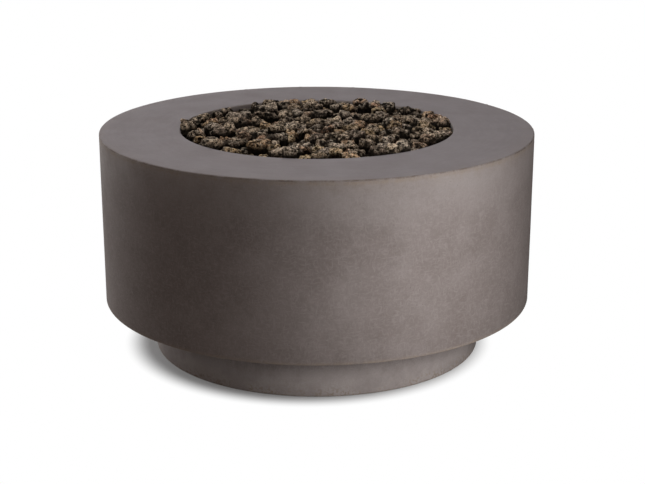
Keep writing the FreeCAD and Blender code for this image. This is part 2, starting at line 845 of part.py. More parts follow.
def ball_seats():
    """Two soft rings whose cones bear on the ball, above and below it."""
    body = valve_group_body("ball_seats", apart=True)
    inner_r = size.valve_bore / 2 + size.seat_clearance
    outer_r = cavity_r - size.fit_clearance
    cone = (ball_r + size.seat_clearance) * math.sqrt(2)
    lip_r = (inner_r + ball_r) / 2
    for side in (1, -1):
        turn_profile(body, [
            (inner_r, (cone - inner_r) * side),
            (inner_r, size.seat_depth * side),
            (outer_r, size.seat_depth * side),
            (outer_r, (cone - lip_r) * side),
            (lip_r, (cone - lip_r) * side),
        ])
    return body


def valve_ball():
    """A drilled ball, slotted for the stem's tang; its bore lies across the flow at rest."""
    across_flow = FreeCAD.Rotation(FreeCAD.Vector(0, 1, 0), 90)
    solid = doc.addObject("Part::Sphere", "ball_solid")
    solid.Placement.Rotation = across_flow
    solid.setExpression("Radius", ball_r.text)
    bore = doc.addObject("Part::Cylinder", "ball_bore")
    bore.Placement.Rotation = across_flow
    bore.setExpression("Radius", (size.valve_bore / 2).text)
    bore.setExpression("Height", (size.ball_diameter * 2).text)
    bore.setExpression("Placement.Base.x", (-size.ball_diameter).text)
    slot = doc.addObject("Part::Box", "ball_slot")
    slot_half_width = size.tang_thickness / 2 + size.fit_clearance
    slot.setExpression("Length", (slot_half_width * 2).text)
    slot.setExpression("Width", ball_r.text)
    slot.setExpression("Height", (size.ball_diameter * 2).text)
    slot.setExpression("Placement.Base.x", (-slot_half_width).text)
    slot.setExpression("Placement.Base.y", (ball_r - size.tang_depth).text)
    slot.setExpression("Placement.Base.z", (-size.ball_diameter).text)
    ball = doc.addObject("Part::Cut", "valve_ball")
    ball.Label = "valve_ball"
    ball.Base = solid
    ball.Tool = fuse("ball_hollow", [bore, slot])
    return move_body(ball, y=valve_y, z=key_z)


def valve_stem():
    """A turned stem with a tang for the ball, a seal groove and a square for the key."""
    body = valve_group_body("valve_stem")
    groove_y = size.bonnet_length
    half_groove = size.seal_section / 2 + size.fit_clearance
    groove_r = stem_r - size.seal_section - size.fit_clearance
    turn_profile(body, [
        (ball_r + size.fit_clearance, 0),
        (ball_r + size.fit_clearance, stem_r),
        (groove_y - half_groove, stem_r),
        (groove_y - half_groove, groove_r),
        (groove_y + half_groove, groove_r),
        (groove_y + half_groove, stem_r),
        (size.stem_length, stem_r),
        (size.stem_length, 0),
    ], role="YZ_Plane", axis="H_Axis")
    tang_start = ball_r - size.tang_depth + size.fit_clearance
    block_along_y(body, tang_start, size.tang_thickness, size.tang_width, size.tang_depth)
    block_along_y(body, size.stem_length, size.stem_square, size.stem_square, size.stem_square_length)
    return body


def block_along_y(body, start, width, height, length, kind="Pad"):
    sketch = sketch_on(body, "XZ_Plane", -start)
    draw_outline(sketch, rectangle(width / -2, height / -2, width / 2, height / 2))
    return extrude(body, kind, sketch, length, -1)


def stem_seal():
    seal = doc.addObject("Part::Torus", "stem_seal")
    seal.Label = "stem_seal"
    seal.Placement.Rotation = FreeCAD.Rotation(FreeCAD.Vector(1, 0, 0), -90)
    section_r = size.seal_section / 2
    seal.setExpression("Radius1", (stem_r - section_r).text)
    seal.setExpression("Radius2", section_r.text)
    return move_body(seal, y=valve_y + size.bonnet_length, z=key_z)


def valve_bracket():
    """A folded hat bracket that holds the valve's neck off the plinth's inner face."""
    body = valve_group_body("valve_bracket")
    sheet_metal = size.valve_bracket_sheet
    front = size.bonnet_length
    leg = size.valve_bracket_width / 2
    foot = leg + size.valve_bracket_foot
    half = [
        (leg, front),
        (leg, pad_from_valve - sheet_metal),
        (foot, pad_from_valve - sheet_metal),
        (foot, pad_from_valve),
        (leg - sheet_metal, pad_from_valve),
        (leg - sheet_metal, front + sheet_metal),
    ]
    sketch = sketch_on(body, "XY_Plane")
    draw_outline(sketch, half + [(-across, along) for across, along in reversed(half)])
    extrude(body, "Pad", sketch, size.valve_bracket_height, middle=True)
    cut_across(body, front, [(0, 0)], size.neck_diameter / 2 + size.fit_clearance, sheet_metal, -1)
    cut_across(body, pad_from_valve - sheet_metal, [(-valve_bolt_x, 0), (valve_bolt_x, 0)],
               small_hole_r, sheet_metal, -1)
    return body


def gland_nut():
    body = valve_group_body("gland_nut")
    sketch = sketch_on(body, "XZ_Plane", -(size.bonnet_length + size.valve_bracket_sheet))
    draw_outline(sketch, hexagon(0, 0, size.gland_nut_across))
    draw_circle(sketch, 0, 0, size.neck_diameter / 2 + size.fit_clearance)
    extrude(body, "Pad", sketch, size.gland_nut_height, -1)
    return body


def small_sleeves(label, start, across, towards):
    """Two cast-in sleeves for small screws, side by side along Y."""
    body, sleeve = cylinders(label, "XZ_Plane", -start, [(-across, 0), (across, 0)], small_insert_r,
                             small_hole_r, size.small_insert_length, towards)
    return move_body(body, y=valve_y, z=key_z)


def small_screws(label, seat, across, grip, towards):
    """Two small screws along Y, with round heads seated on a plane."""
    centres = [(-across, 0), (across, 0)]
    body, heads = cylinders(label, "XZ_Plane", -seat, centres, size.small_head_across / 2, None,
                            size.small_head_height, -towards)
    sketch = sketch_on(body, "XZ_Plane", -seat)
    for centre in centres:
        draw_circle(sketch, *centre, small_bolt_r)
    extrude(body, "Pad", sketch, grip, towards)
    return move_body(body, y=valve_y, z=key_z)


def valve_fasteners():
    bracket_seat = pad_from_valve - size.valve_bracket_sheet
    return [
        small_sleeves("valve_bracket_inserts", pad_from_valve, valve_bolt_x, -1),
        small_screws("valve_bracket_bolts", bracket_seat, valve_bolt_x,
                     size.valve_bracket_sheet + size.small_insert_length / 2, -1),
        small_sleeves("escutcheon_plugs", seat_from_valve, escutcheon_screw_x, 1),
        small_screws("escutcheon_screws", escutcheon_face, escutcheon_screw_x,
                     size.escutcheon_thickness + size.small_insert_length / 2, 1),
    ]


def key_sleeve():
    body = valve_group_body("key_sleeve")
    turn_profile(body, rectangle(pad_from_valve, sleeve_bore_r, seat_from_valve, sleeve_r),
                 role="YZ_Plane", axis="H_Axis")
    return body


def escutcheon():
    body = valve_group_body("escutcheon")
    edge = size.escutcheon_edge
    outer_r = size.escutcheon_diameter / 2
    turn_profile(body, [
        (seat_from_valve, sleeve_bore_r),
        (seat_from_valve, outer_r),
        (escutcheon_face - edge, outer_r),
        (escutcheon_face, outer_r - edge),
        (escutcheon_face, sleeve_bore_r),
    ], role="YZ_Plane", axis="H_Axis")
    cut_across(body, seat_from_valve, [(-escutcheon_screw_x, 0), (escutcheon_screw_x, 0)],
               small_hole_r, size.escutcheon_thickness, -1)
    return body


def gas_key():
    """A loose key: a socket for the stem's square, a shank and a cross bar."""
    body = valve_group_body("gas_key")
    start = size.stem_length + size.seat_clearance
    bar_y = escutcheon_face + size.key_reach
    rod_along_y(body, start, size.key_diameter / 2, bar_y - start)
    bar_sketch = sketch_on(body, "YZ_Plane")
    draw_circle(bar_sketch, bar_y, 0, size.key_bar_diameter / 2)
    extrude(body, "Pad", bar_sketch, size.key_bar_length, middle=True)
    socket = size.stem_square + size.socket_clearance * 2
    block_along_y(body, start, socket, socket, size.stem_square_length, "Pocket")
    return body


def levelling_foot(index):
    """A pad on a threaded stud, screwed fully in so that the plinth meets the floor."""
    body = new_body(f"levelling_foot_{index + 1}")
    pad_r = size.foot_pad_diameter / 2
    stud_top = size.foot_pad_height + size.foot_stud_length
    turn_profile(body, [
        (0, 0),
        (pad_r, 0),
        (pad_r, size.foot_pad_height),
        (foot_stud_r, size.foot_pad_height),
        (foot_stud_r, stud_top),
        (0, stud_top),
    ])
    across, along = polar(foot_circle_r, FOOT_TURN + 360 * index / foot_count)
    return move_body(body, x=across, y=along)


def levelling_inserts():
    foot_place = polar(foot_circle_r, FOOT_TURN)
    body, sleeve = cylinders("levelling_inserts", "XY_Plane", foot_pocket_top, [foot_place],
                             size.foot_insert_diameter / 2, foot_stud_r + size.running_clearance,
                             size.foot_insert_length)
    repeat_round(body, [sleeve], size.foot_count)
    return body


def lava_fill():
    """The buried stones as one solid, seated on the pan's floor and cut clear of the burner."""
    body = new_body("lava_fill")
    pan_fill_r = pan_r - size.pan_sheet - size.seat_clearance
    turn_profile(body, [
        (0, pan_floor),
        (pan_fill_r, pan_floor),
        (pan_fill_r, flange_top + size.seat_clearance),
        (bed_r, flange_top + size.seat_clearance),
        (bed_r, bed_top),
        (0, bed_top),
    ])
    gap = size.burner_gap
    channel_top = burner_z + tube_r + gap
    for ring_r in (burner_r, inner_ring_r):
        turn_profile(body, rectangle(ring_r - tube_r - gap, pan_floor, ring_r + tube_r + gap, channel_top),
                     kind="Groove")
    hub_space = larger(hub_r, locknut_corner_r) + gap
    turn_profile(body, rectangle(0, pan_floor, hub_space, hub_top + gap), kind="Groove")
    sketch = sketch_on(body, "YZ_Plane")
    half_width = saddle_half_width + gap
    draw_outline(sketch, rectangle(-half_width, pan_floor, half_width, channel_top))
    channel = extrude(body, "Pocket", sketch, burner_r)
    repeat_round(body, [channel], size.spoke_count)
    return body


def cut_polyhedron(faces, normal, reach):
    """Keep the part of a convex polyhedron that lies below a plane at a reach along its normal."""
    kept = []
    rim = []
    for face in faces:
        heights = [normal.dot(corner) - reach for corner in face]
        loop = []
        for index, corner in enumerate(face):
            following = (index + 1) % len(face)
            if heights[index] <= 0:
                loop.append(corner)
            if heights[index] * heights[following] < 0:
                share = heights[index] / (heights[index] - heights[following])
                crossing = corner + (face[following] - corner) * share
                loop.append(crossing)
                rim.append(crossing)
        if len(loop) >= 3:
            kept.append(loop)
    if rim:
        kept.append(order_round(rim, normal))
    return kept


def order_round(points, normal):
    """Put the crossing points in order about the plane's normal, each one once."""
    distinct = []
    for point in points:
        if all(point.distanceToPoint(other) > SAME_PLACE for other in distinct):
            distinct.append(point)
    middle = sum(distinct, FreeCAD.Vector()) / len(distinct)
    first = (distinct[0] - middle).normalize()
    second = normal.cross(first)

    def turn_of(point):
        arm = point - middle
        return math.atan2(arm.dot(second), arm.dot(first))

    return sorted(distinct, key=turn_of)


def edges_are_long(faces):
    for face in faces:
        for index, corner in enumerate(face):
            if corner.distanceToPoint(face[(index + 1) % len(face)]) < SHORTEST_EDGE:
                return False
    return True


def stone_places(dice, pitch, field_r):
    """An outer row of stones along the rim, and a shaken triangular grid inside it."""
    row_r = field_r - ROW_INSET * pitch
    row_count = round(2 * math.pi * row_r / pitch)
    places = []
    for index in range(row_count):
        turn = 2 * math.pi * (index + dice.uniform(-ROW_SHAKE, ROW_SHAKE)) / row_count
        reach = row_r - dice.uniform(0, ROW_SHAKE) * pitch
        places.append((reach * math.cos(turn), reach * math.sin(turn)))
    row_step = pitch * math.sin(math.radians(60))
    steps = int(field_r / row_step) + 1
    for row in range(-steps, steps + 1):
        for column in range(-steps, steps + 1):
            across = (column + 0.5 * (row % 2)) * pitch
            along = row * row_step
            if math.hypot(across, along) < row_r - ROW_SPACING * pitch:
                shake = [dice.uniform(-STONE_SHAKE, STONE_SHAKE) * pitch for axis in "xy"]
                places.append((across + shake[0], along + shake[1]))
    return places


def stone_centres(dice, pitch, field_r, low, layer):
    """Each stone's centre with its own half width and half height."""
    stones = []
    for across, along in stone_places(dice, pitch, field_r):
        height = low + dice.uniform(*CENTRE_SHARE) * layer
        half_width = dice.uniform(*HALF_WIDTH_SHARE) * pitch
        half_height = dice.uniform(*HALF_HEIGHT_SHARE) * layer
        stones.append((FreeCAD.Vector(across, along, height), half_width, half_height))
    return stones


def grow_stone(dice, stone, neighbours, low, field_r, gap):
    """A faceted stone: a rough ellipsoid cut flat on the bed, back from its neighbours and the rim."""
    centre, half_width, half_height = stone
    box = Part.makeBox(4 * half_width, 4 * half_width, 4 * half_height,
                       centre - FreeCAD.Vector(2 * half_width, 2 * half_width, 2 * half_height))
    faces = [[vertex.Point for vertex in face.OuterWire.OrderedVertexes] for face in box.Faces]
    outward = FreeCAD.Vector(centre.x, centre.y, 0).normalize()
    lean = FreeCAD.Vector(dice.uniform(-TOP_LEAN, TOP_LEAN), dice.uniform(-TOP_LEAN, TOP_LEAN), 1).normalize()
    cuts = [
        (FreeCAD.Vector(0, 0, -1), -low),
        (outward, field_r),
        (lean, lean.dot(centre) + half_height),
    ]
    for other, other_width, other_height in neighbours:
        between = FreeCAD.Vector(other.x - centre.x, other.y - centre.y, 0.5 * (other.z - centre.z))
        share = half_width / (half_width + other_width)
        meeting = centre + (other - centre) * share
        normal = between.normalize()
        cuts.append((normal, normal.dot(meeting) - gap / 2))
    for normal, reach in cuts:
        trial = cut_polyhedron(faces, normal, reach)
        while not edges_are_long(trial):
            reach -= gap / 2
            trial = cut_polyhedron(faces, normal, reach)
        faces = trial
    for facet in range(STONE_FACETS):
        rise = dice.uniform(-0.5, 1)
        turn = dice.uniform(0, 2 * math.pi)
        level = math.sqrt(1 - rise * rise)
        normal = FreeCAD.Vector(level * math.cos(turn), level * math.sin(turn), rise)
        reach = math.hypot(half_width * level, half_height * rise) * dice.uniform(*FACET_REACH_SHARE)
        trial = cut_polyhedron(faces, normal, normal.dot(centre) + reach)
        if edges_are_long(trial):
            faces = trial
    shell = Part.Shell([Part.Face(Part.makePolygon(face + face[:1])) for face in faces])
    solid = Part.Solid(shell)
    if solid.Volume < 0:
        solid.reverse()
    return solid


def lava_rocks():
    """The top layer of loose lava stones, each a separate solid seated on the fill."""
    dice = random.Random(STONE_SEED)
    pitch = number_of(size.stone_pitch)
    layer = number_of(rim_top - bed_top)
    low = number_of(bed_top)
    field_r = number_of(bed_r)
    gap = number_of(size.stone_gap)
    stones = stone_centres(dice, pitch, field_r, low, layer)
    solids = []
    for stone in stones:
        neighbours = [other for other in stones
                      if other is not stone and other[0].distanceToPoint(stone[0]) < NEIGHBOUR_REACH * pitch]
        solids.append(grow_stone(dice, stone, neighbours, low, field_r, gap))
    rocks = doc.addObject("Part::Feature", "lava_rocks")
    rocks.Label = "lava_rocks"
    rocks.Shape = Part.makeCompound(solids)
    rocks.Placement = FreeCAD.Placement()
    return rocks


def check_document():
    """Stop if any feature failed, cut nothing or left a sub-part without a sound solid."""
    for item in doc.Objects:
        if "Invalid" in item.State or "Error" in item.State:
            raise RuntimeError(f"{item.Label} could not be worked out: {item.State}")
        if item.TypeId in ("PartDesign::Pocket", "PartDesign::Groove"):
            before = item.BaseFeature.Shape
            same_faces = len(item.Shape.Faces) == len(before.Faces)
            if same_faces and item.Shape.Volume >= before.Volume:
                raise RuntimeError(f"{item.Label} cuts nothing")
    for piece in pieces:
        if piece.Shape.isNull() or not piece.Shape.isValid() or not piece.Shape.Solids:
            raise RuntimeError(f"{piece.Label} is not a sound solid")


pieces = [
    drum_shell(),
    plinth_ring(),
    floor_plate(),
    drum_brackets(),
    *drum_fasteners(),
    pan_support_ring(),
    ring_piece("heat_gasket", ring_inner_r, flange_r, rim_under, flange_under),
    burner_pan(),
    burner_ring(),
    burner_saddles(),
    ring_piece("inlet_nipple", nipple_bore_r, nipple_r, nipple_bottom, nipple_top),
    ring_piece("gas_orifice", size.orifice_diameter / 2, nipple_bore_r - size.fit_clearance,
               nipple_bottom, nipple_bottom + size.orifice_length),
    pan_locknuts(),
    gas_elbow(),
    gas_feed_pipe(),
    pipe_nuts(),
    valve_body(),
    valve_end_cap(),
    ball_seats(),
    valve_bracket(),
    gland_nut(),
    *valve_fasteners(),
    key_sleeve(),
    escutcheon(),
    lava_fill(),
    lava_rocks(),
    levelling_inserts(),
    valve_stem(),
    valve_ball(),
    stem_seal(),
    gas_key(),
    *[levelling_foot(index) for index in range(foot_count)],
]
doc.recompute()
check_document()
os.makedirs("parts", exist_ok=True)
for piece in pieces:
    piece.Shape.exportStep(f"parts/{piece.Label}.step")
    print(piece.Label, len(piece.Shape.Solids), "solids", round(piece.Shape.Volume / 1000, 2), "cm3")
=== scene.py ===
import json
import math

import bmesh
import bpy
import numpy as np
from bpy.props import FloatProperty, FloatVectorProperty, IntProperty, PointerProperty
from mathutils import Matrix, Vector


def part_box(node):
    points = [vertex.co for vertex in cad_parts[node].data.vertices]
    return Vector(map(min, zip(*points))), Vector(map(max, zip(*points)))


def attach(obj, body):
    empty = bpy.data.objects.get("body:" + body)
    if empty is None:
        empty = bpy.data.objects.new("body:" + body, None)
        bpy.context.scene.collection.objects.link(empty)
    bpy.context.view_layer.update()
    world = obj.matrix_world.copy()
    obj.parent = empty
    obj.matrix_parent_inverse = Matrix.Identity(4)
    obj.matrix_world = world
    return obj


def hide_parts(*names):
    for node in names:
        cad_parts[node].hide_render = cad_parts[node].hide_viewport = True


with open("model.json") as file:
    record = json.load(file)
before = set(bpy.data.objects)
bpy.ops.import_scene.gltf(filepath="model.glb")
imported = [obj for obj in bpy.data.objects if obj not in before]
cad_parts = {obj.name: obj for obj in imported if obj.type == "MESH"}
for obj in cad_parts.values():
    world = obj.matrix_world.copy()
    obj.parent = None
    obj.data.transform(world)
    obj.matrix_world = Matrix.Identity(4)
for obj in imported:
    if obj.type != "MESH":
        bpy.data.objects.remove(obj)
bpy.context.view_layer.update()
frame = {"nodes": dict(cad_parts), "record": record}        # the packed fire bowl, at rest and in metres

bl_info = {
    "name": "Concrete fire bowl",
    "version": (1, 0, 0),
    "blender": (4, 5, 0),
    "location": "3D View > Sidebar > Fire bowl",
    "description": "Gives a packed concrete fire bowl its concrete, lava rock, metalwork and studio",
    "category": "Object",
}

# Distances within which corners are one: on the packed solids, the packed stones and the turned drum
SAME_PLACE = 1e-4
STONE_WELD = 1e-5
DRUM_WELD = 1e-6


def turned_measures(node):
    """Radii and heights of the corners of a node that is turned about +Z."""
    corners = np.array([corner.co for corner in frame["nodes"][node].data.vertices])
    return np.hypot(corners[:, 0], corners[:, 1]), corners[:, 2]


drum_radii, drum_heights = turned_measures("drum_shell")
DRUM_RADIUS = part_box("drum_shell")[1].x
DRUM_FOOT, RIM_TOP = (corner.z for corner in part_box("drum_shell"))
OPENING_RADIUS = float(drum_radii.min())
DRUM_BORE = float(drum_radii[drum_heights < DRUM_FOOT + SAME_PLACE].min())
RIM_UNDER = float(drum_heights[drum_radii < OPENING_RADIUS + SAME_PLACE].min())
PLINTH_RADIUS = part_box("plinth_ring")[1].x
PLINTH_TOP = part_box("plinth_ring")[1].z
BED_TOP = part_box("lava_fill")[1].z
BED_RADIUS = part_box("lava_fill")[1].x


# Settings
def setting_maker(kind, **fixed):
    """A function that makes settings of one kind."""
    def make(name, description, default):
        return kind(name=name, description=description, default=default, **fixed)

    return make


length_setting = setting_maker(FloatProperty, unit="LENGTH", precision=4)
share_setting = setting_maker(FloatProperty, subtype="FACTOR")
angle_setting = setting_maker(FloatProperty, subtype="ANGLE")
lens_setting = setting_maker(FloatProperty, unit="CAMERA")
count_setting = setting_maker(IntProperty)
colour_setting = setting_maker(FloatVectorProperty, subtype="COLOR", min=0, max=1)


class ConcreteSettings(bpy.types.PropertyGroup):
    """Shape and colours of the cast concrete."""

    arris: length_setting("Arris", "Rounding of the drum's outer edges", 0.003)
    haunch: length_setting("Haunch", "Rounding under the rim, inside the drum", 0.020)
    facet: length_setting("Facet", "Spacing of points along a straight of the drum's outline", 0.030)
    segments: count_setting("Segments", "Facets round the drum", 640)
    unevenness: length_setting("Unevenness", "Height of the slow waves in the cast faces", 0.0006)
    chip_depth: length_setting("Chip depth", "Depth of the small chips along the edges", 0.0010)
    # Painted light: the sides are painted paler, in patches, down to this depth from the rim, for the light
    # on their upper part
    bloom_depth: length_setting("Bloom depth", "How far the paler bloom reaches down from the rim", 0.14)
    # Painted light: the plinth is painted paler towards the floor, for the light off the floor
    foot_bloom: length_setting("Foot bloom", "Height to which the plinth is fully pale", 0.035)
    # Painted shade: the plinth is painted darker under the drum's overhang, down to this depth from its top
    damp_depth: length_setting("Damp depth", "How far the plinth is darkened down from its top", 0.112)
    speck_height: length_setting("Speck height", "How far tan specks reach up the plinth", 0.035)
    side: colour_setting("Side", "Colour of the cast sides", (0.236, 0.203, 0.194))
    top: colour_setting("Top", "Colour of the trowelled rim", (0.206, 0.188, 0.195))
    stain: colour_setting("Stain", "Colour of the darker clouds", (0.150, 0.124, 0.114))
    # The paler clouds' colour is also the painted light on the drum's upper sides
    bloom: colour_setting("Bloom", "Colour of the paler clouds", (0.310, 0.278, 0.268))
    # Painted light off the floor, on the plinth's lower part
    foot: colour_setting("Foot", "Colour of the plinth near the floor", (0.425, 0.380, 0.366))
    edge: colour_setting("Edge", "Colour of the worn edges", (0.285, 0.232, 0.188))
    # Dirt and painted shade: the dark line along the rim's outer edge
    dirt: colour_setting("Dirt", "Colour of the dirt along the rim's edge", (0.090, 0.066, 0.050))


class LavaSettings(bpy.types.PropertyGroup):
    """Shape and colours of the lava rock."""

    pieces: count_setting("Pieces", "Meshes that the stones are shared out to", 6)
    smoothing: count_setting("Smoothing", "Levels of subdivision of each stone", 3)
    crease: share_setting("Crease", "Sharpness of the broken edges", 0.55)
    lump: length_setting("Lump", "Height of the slow swells of a stone", 0.0070)
    lump_size: length_setting("Lump size", "Width of a swell", 0.026)
    knob: length_setting("Knob", "Height of the knobs on a stone", 0.0034)
    knob_size: length_setting("Knob size", "Spacing of the knobs", 0.0105)
    pore: length_setting("Pore", "Depth of the larger gas pores", 0.0045)
    pore_size: length_setting("Pore size", "Spacing of the larger gas pores", 0.0095)
    pore_reach: share_setting("Pore reach", "Largest pore radius, as a share of the spacing", 0.45)
    lift: length_setting("Lift", "How far stones stand up or sink", 0.014)
    heap: length_setting("Heap", "How far all the stones are heaped up", 0.004)
    roundness: share_setting("Roundness", "How far a stone is pulled towards a ball", 0.12)
    seed: count_setting("Seed", "Draw of the tints and the rubble", 7)
    rubble_gap: length_setting("Rubble gap", "Least distance between bits of rubble", 0.015)
    rubble_size: length_setting("Rubble size", "Half width of the largest bit of rubble", 0.015)
    # Painted shade: stones are painted black low in the bed and clear higher up
    shade_from: length_setting("Shade from", "Height above the fill up to which stones are black", 0.010)
    shade_to: length_setting("Shade to", "Height above the fill from which stones are clear", 0.038)
    dust: colour_setting("Dust", "Colour of the dust on the stones", (0.76, 0.60, 0.44))
    # Painted highlight, laid on pale spots of the stones
    scraped: colour_setting("Scraped", "Colour of the scraped ridges", (1.00, 0.84, 0.65))
    # Soot and painted shade: the near black that the grain and the shade marks mix to
    soot: colour_setting("Soot", "Colour in the hollows and under the stones", (0.005, 0.004, 0.003))
    # Painted shade inside the gas pores
    hole: colour_setting("Hole", "Colour inside the gas pores", (0.008, 0.006, 0.005))


class StageSettings(bpy.types.PropertyGroup):
    """Camera, lights and floor."""

    lens: lens_setting("Lens", "Focal length in millimetres", 78.81)
    distance: length_setting("Distance", "From the bowl's axis to the camera, along the floor", 3.425)
    height: length_setting("Height", "Camera above the floor", 1.294)
    tilt: angle_setting("Tilt", "How far the camera looks down", math.radians(16.956))
    turn: angle_setting("Turn", "How far the camera looks right of the axis", math.radians(0.235))
    ambient: colour_setting("Ambient", "Colour of the light from all round", (0.085, 0.060, 0.050))
    floor: colour_setting("Floor", "Colour of the floor in the shadow", (0.46, 0.46, 0.46))
    shadow_lift: share_setting("Shadow lift", "How far the shadow is lightened", 0.09)
    bounce: colour_setting("Bounce", "Colour of the floor as it lights the bowl", (0.42, 0.40, 0.38))


SETTINGS = {
    "bowl_concrete": ConcreteSettings,
    "bowl_lava": LavaSettings,
    "bowl_stage": StageSettings,
}

# Node trees
VECTOR = "NodeSocketVector"
VALUE = "NodeSocketFloat"
COUNT = "NodeSocketInt"
GEOMETRY = "NodeSocketGeometry"
MATERIAL = "NodeSocketMaterial"
# The smallest pit as a share of the largest, and the flat share of a pit
PIT_SMALLEST = 0.35
PIT_FLOOR = 0.6


class Graph:
    """Adds nodes to a tree, sets their plain inputs and links the others."""

    def __init__(self, tree):
        self.tree = tree

    def give(self, socket, value):
        if isinstance(value, bpy.types.NodeSocket):
            self.tree.links.new(value, socket)
        else:
            socket.default_value = value

    def add(self, kind, inputs=None, **settings):
        node = self.tree.nodes.new(kind)
        for name, value in settings.items():
            setattr(node, name, value)
        for key, value in (inputs or {}).items():
            self.give(node.inputs[key], value)
        return node

    def first(self, kind, inputs=None, **settings):
        """The first output of a new node."""
        return self.add(kind, inputs, **settings).outputs[0]

    def math(self, operation, *values):
        return self.first("ShaderNodeMath", dict(enumerate(values)), operation=operation)

    def plus(self, value, other):
        return self.math("ADD", value, other)

    def minus(self, value, other):
        return self.math("SUBTRACT", value, other)

    def times(self, value, factor):
        return self.math("MULTIPLY", value, factor)

    def over(self, value, divisor):
        return self.math("DIVIDE", value, divisor)

    def blend(self, value, other, share):
        """A sum in which another value has a share and the first one the rest."""
        return self.plus(self.times(value, 1.0 - share), self.times(other, share))

    def vector(self, operation, *values):
        return self.first("ShaderNodeVectorMath", dict(enumerate(values)), operation=operation)

    def scaled(self, vector, amount):
        return self.first("ShaderNodeVectorMath", {0: vector, "Scale": amount}, operation="SCALE")

    def length(self, vector):
        return self.add("ShaderNodeVectorMath", {0: vector}, operation="LENGTH").outputs["Value"]

    def flat(self, vector):
        """A place without its height."""
        return self.vector("MULTIPLY", vector, (1.0, 1.0, 0.0))

    def height(self, vector):
        return self.add("ShaderNodeSeparateXYZ", {0: vector}).outputs["Z"]

    def upright(self, value):
        return self.first("ShaderNodeCombineXYZ", {"Z": value})

    def fade(self, value, start, end):
        """A smooth step from 0 at start to 1 at end."""
        limits = {"Value": value, "From Min": start, "From Max": end}
        return self.first("ShaderNodeMapRange", limits, interpolation_type="SMOOTHSTEP")

    def between(self, value, low, high):
        """Stretch a value of 0 to 1 so that it runs from low to high."""
        return self.first("ShaderNodeMapRange", {"Value": value, "To Min": low, "To Max": high})

    def mix(self, share, colour, other):
        return self.add("ShaderNodeMix", {0: share, 6: colour, 7: other}, data_type="RGBA").outputs[2]

    def noise(self, vector, size, detail=2.0, roughness=0.5):
        """Soft noise whose features are about one size wide."""
        scale = self.over(1.0, size)
        inputs = {"Vector": vector, "Scale": scale, "Detail": detail, "Roughness": roughness}
        return self.first("ShaderNodeTexNoise", inputs)

    def cells(self, vector, size):
        """Round cells about one size apart, with the distance from their middles and a colour for each."""
        return self.add("ShaderNodeTexVoronoi", {"Vector": vector, "Scale": self.over(1.0, size)}).outputs

    def pits(self, vector, size, reach):
        """Round pits of uneven widths up to a reach, 1 at their bottoms and 0 between them."""
        cells = self.cells(vector, size)
        chance = self.first("ShaderNodeSeparateXYZ", {0: cells["Color"]})
        edge = self.times(self.between(chance, PIT_SMALLEST, 1.0), reach)
        return self.fade(cells["Distance"], edge, self.times(edge, PIT_FLOOR))


class MeshGraph(Graph):
    """A graph that shapes a mesh."""

    def place(self):
        return self.first("GeometryNodeInputPosition")

    def moved(self, geometry, offset):
        return self.first("GeometryNodeSetPosition", {"Geometry": geometry, "Offset": offset})

    def swollen(self, geometry, rise):
        """Move a surface outwards along its normals."""
        normal = self.first("GeometryNodeInputNormal")
        return self.moved(geometry, self.scaled(normal, rise))

    def marked(self, geometry, name, value):
        """Store a value at each point of a mesh."""
        inputs = {"Geometry": geometry, "Name": name, "Value": value}
        return self.first("GeometryNodeStoreNamedAttribute", inputs, data_type="FLOAT", domain="POINT")

    def mark(self, name):
        return self.first("GeometryNodeInputNamedAttribute", {"Name": name}, data_type="FLOAT")

    def island(self):
        return self.first("GeometryNodeInputMeshIsland")

    def island_draw(self, seed, low=0.0, high=1.0):
        """A number drawn for each separate stone."""
        inputs = {2: low, 3: high, "ID": self.island(), "Seed": seed}
        return self.add("FunctionNodeRandomValue", inputs, data_type="FLOAT").outputs[1]

    def vector_draw(self, seed, low, high):
        """A vector drawn for each point."""
        limits = {0: low, 1: high, "Seed": seed}
        return self.first("FunctionNodeRandomValue", limits, data_type="FLOAT_VECTOR")

    def island_sum(self, value, data_type):
        inputs = {"Value": value, "Group ID": self.island()}
        node = self.add("GeometryNodeAccumulateField", inputs, data_type=data_type, domain="POINT")
        return node.outputs["Total"]

    def island_mean(self, value, data_type="FLOAT"):
        """The mean of a value over the points of each separate stone."""
        total = self.island_sum(value, data_type)
        count = self.island_sum(1.0, "FLOAT")
        if data_type == "FLOAT":
            return self.over(total, count)
        return self.scaled(total, self.over(1.0, count))

    def finish(self, geometry, material, result):
        """Shade smooth, realise and set the material, as every tree ends."""
        smooth = self.first("GeometryNodeSetShadeSmooth", {"Geometry": geometry})
        real = self.first("GeometryNodeRealizeInstances", {"Geometry": smooth})
        self.give(result, self.first("GeometryNodeSetMaterial", {"Geometry": real, "Material": material}))


def new_group(name, kind, maker, inputs, result, result_type):
    """An empty group with named inputs and one result: its graph, its inputs and the result's socket."""
    tree = bpy.data.node_groups.new(name, kind)
    for label, socket_type in inputs.items():
        tree.interface.new_socket(name=label, in_out="INPUT", socket_type=socket_type)
    tree.interface.new_socket(name=result, in_out="OUTPUT", socket_type=result_type)
    graph = maker(tree)
    return graph, graph.add("NodeGroupInput").outputs, graph.add("NodeGroupOutput").inputs[0]


def effect_group(name, values, result):
    """An empty group that takes a place and some values and gives one value."""
    inputs = {"Vector": VECTOR, **dict.fromkeys(values, VALUE)}
    return new_group(name, "ShaderNodeTree", Graph, inputs, result, VALUE)


def mesh_group(name, source, counts, values, result):
    """An empty group that shapes one mesh into another."""
    numbers = {**dict.fromkeys(counts, COUNT), **dict.fromkeys(values, VALUE)}
    inputs = {source: GEOMETRY, **numbers, "Material": MATERIAL}
    return new_group(name, "GeometryNodeTree", MeshGraph, inputs, result, GEOMETRY)


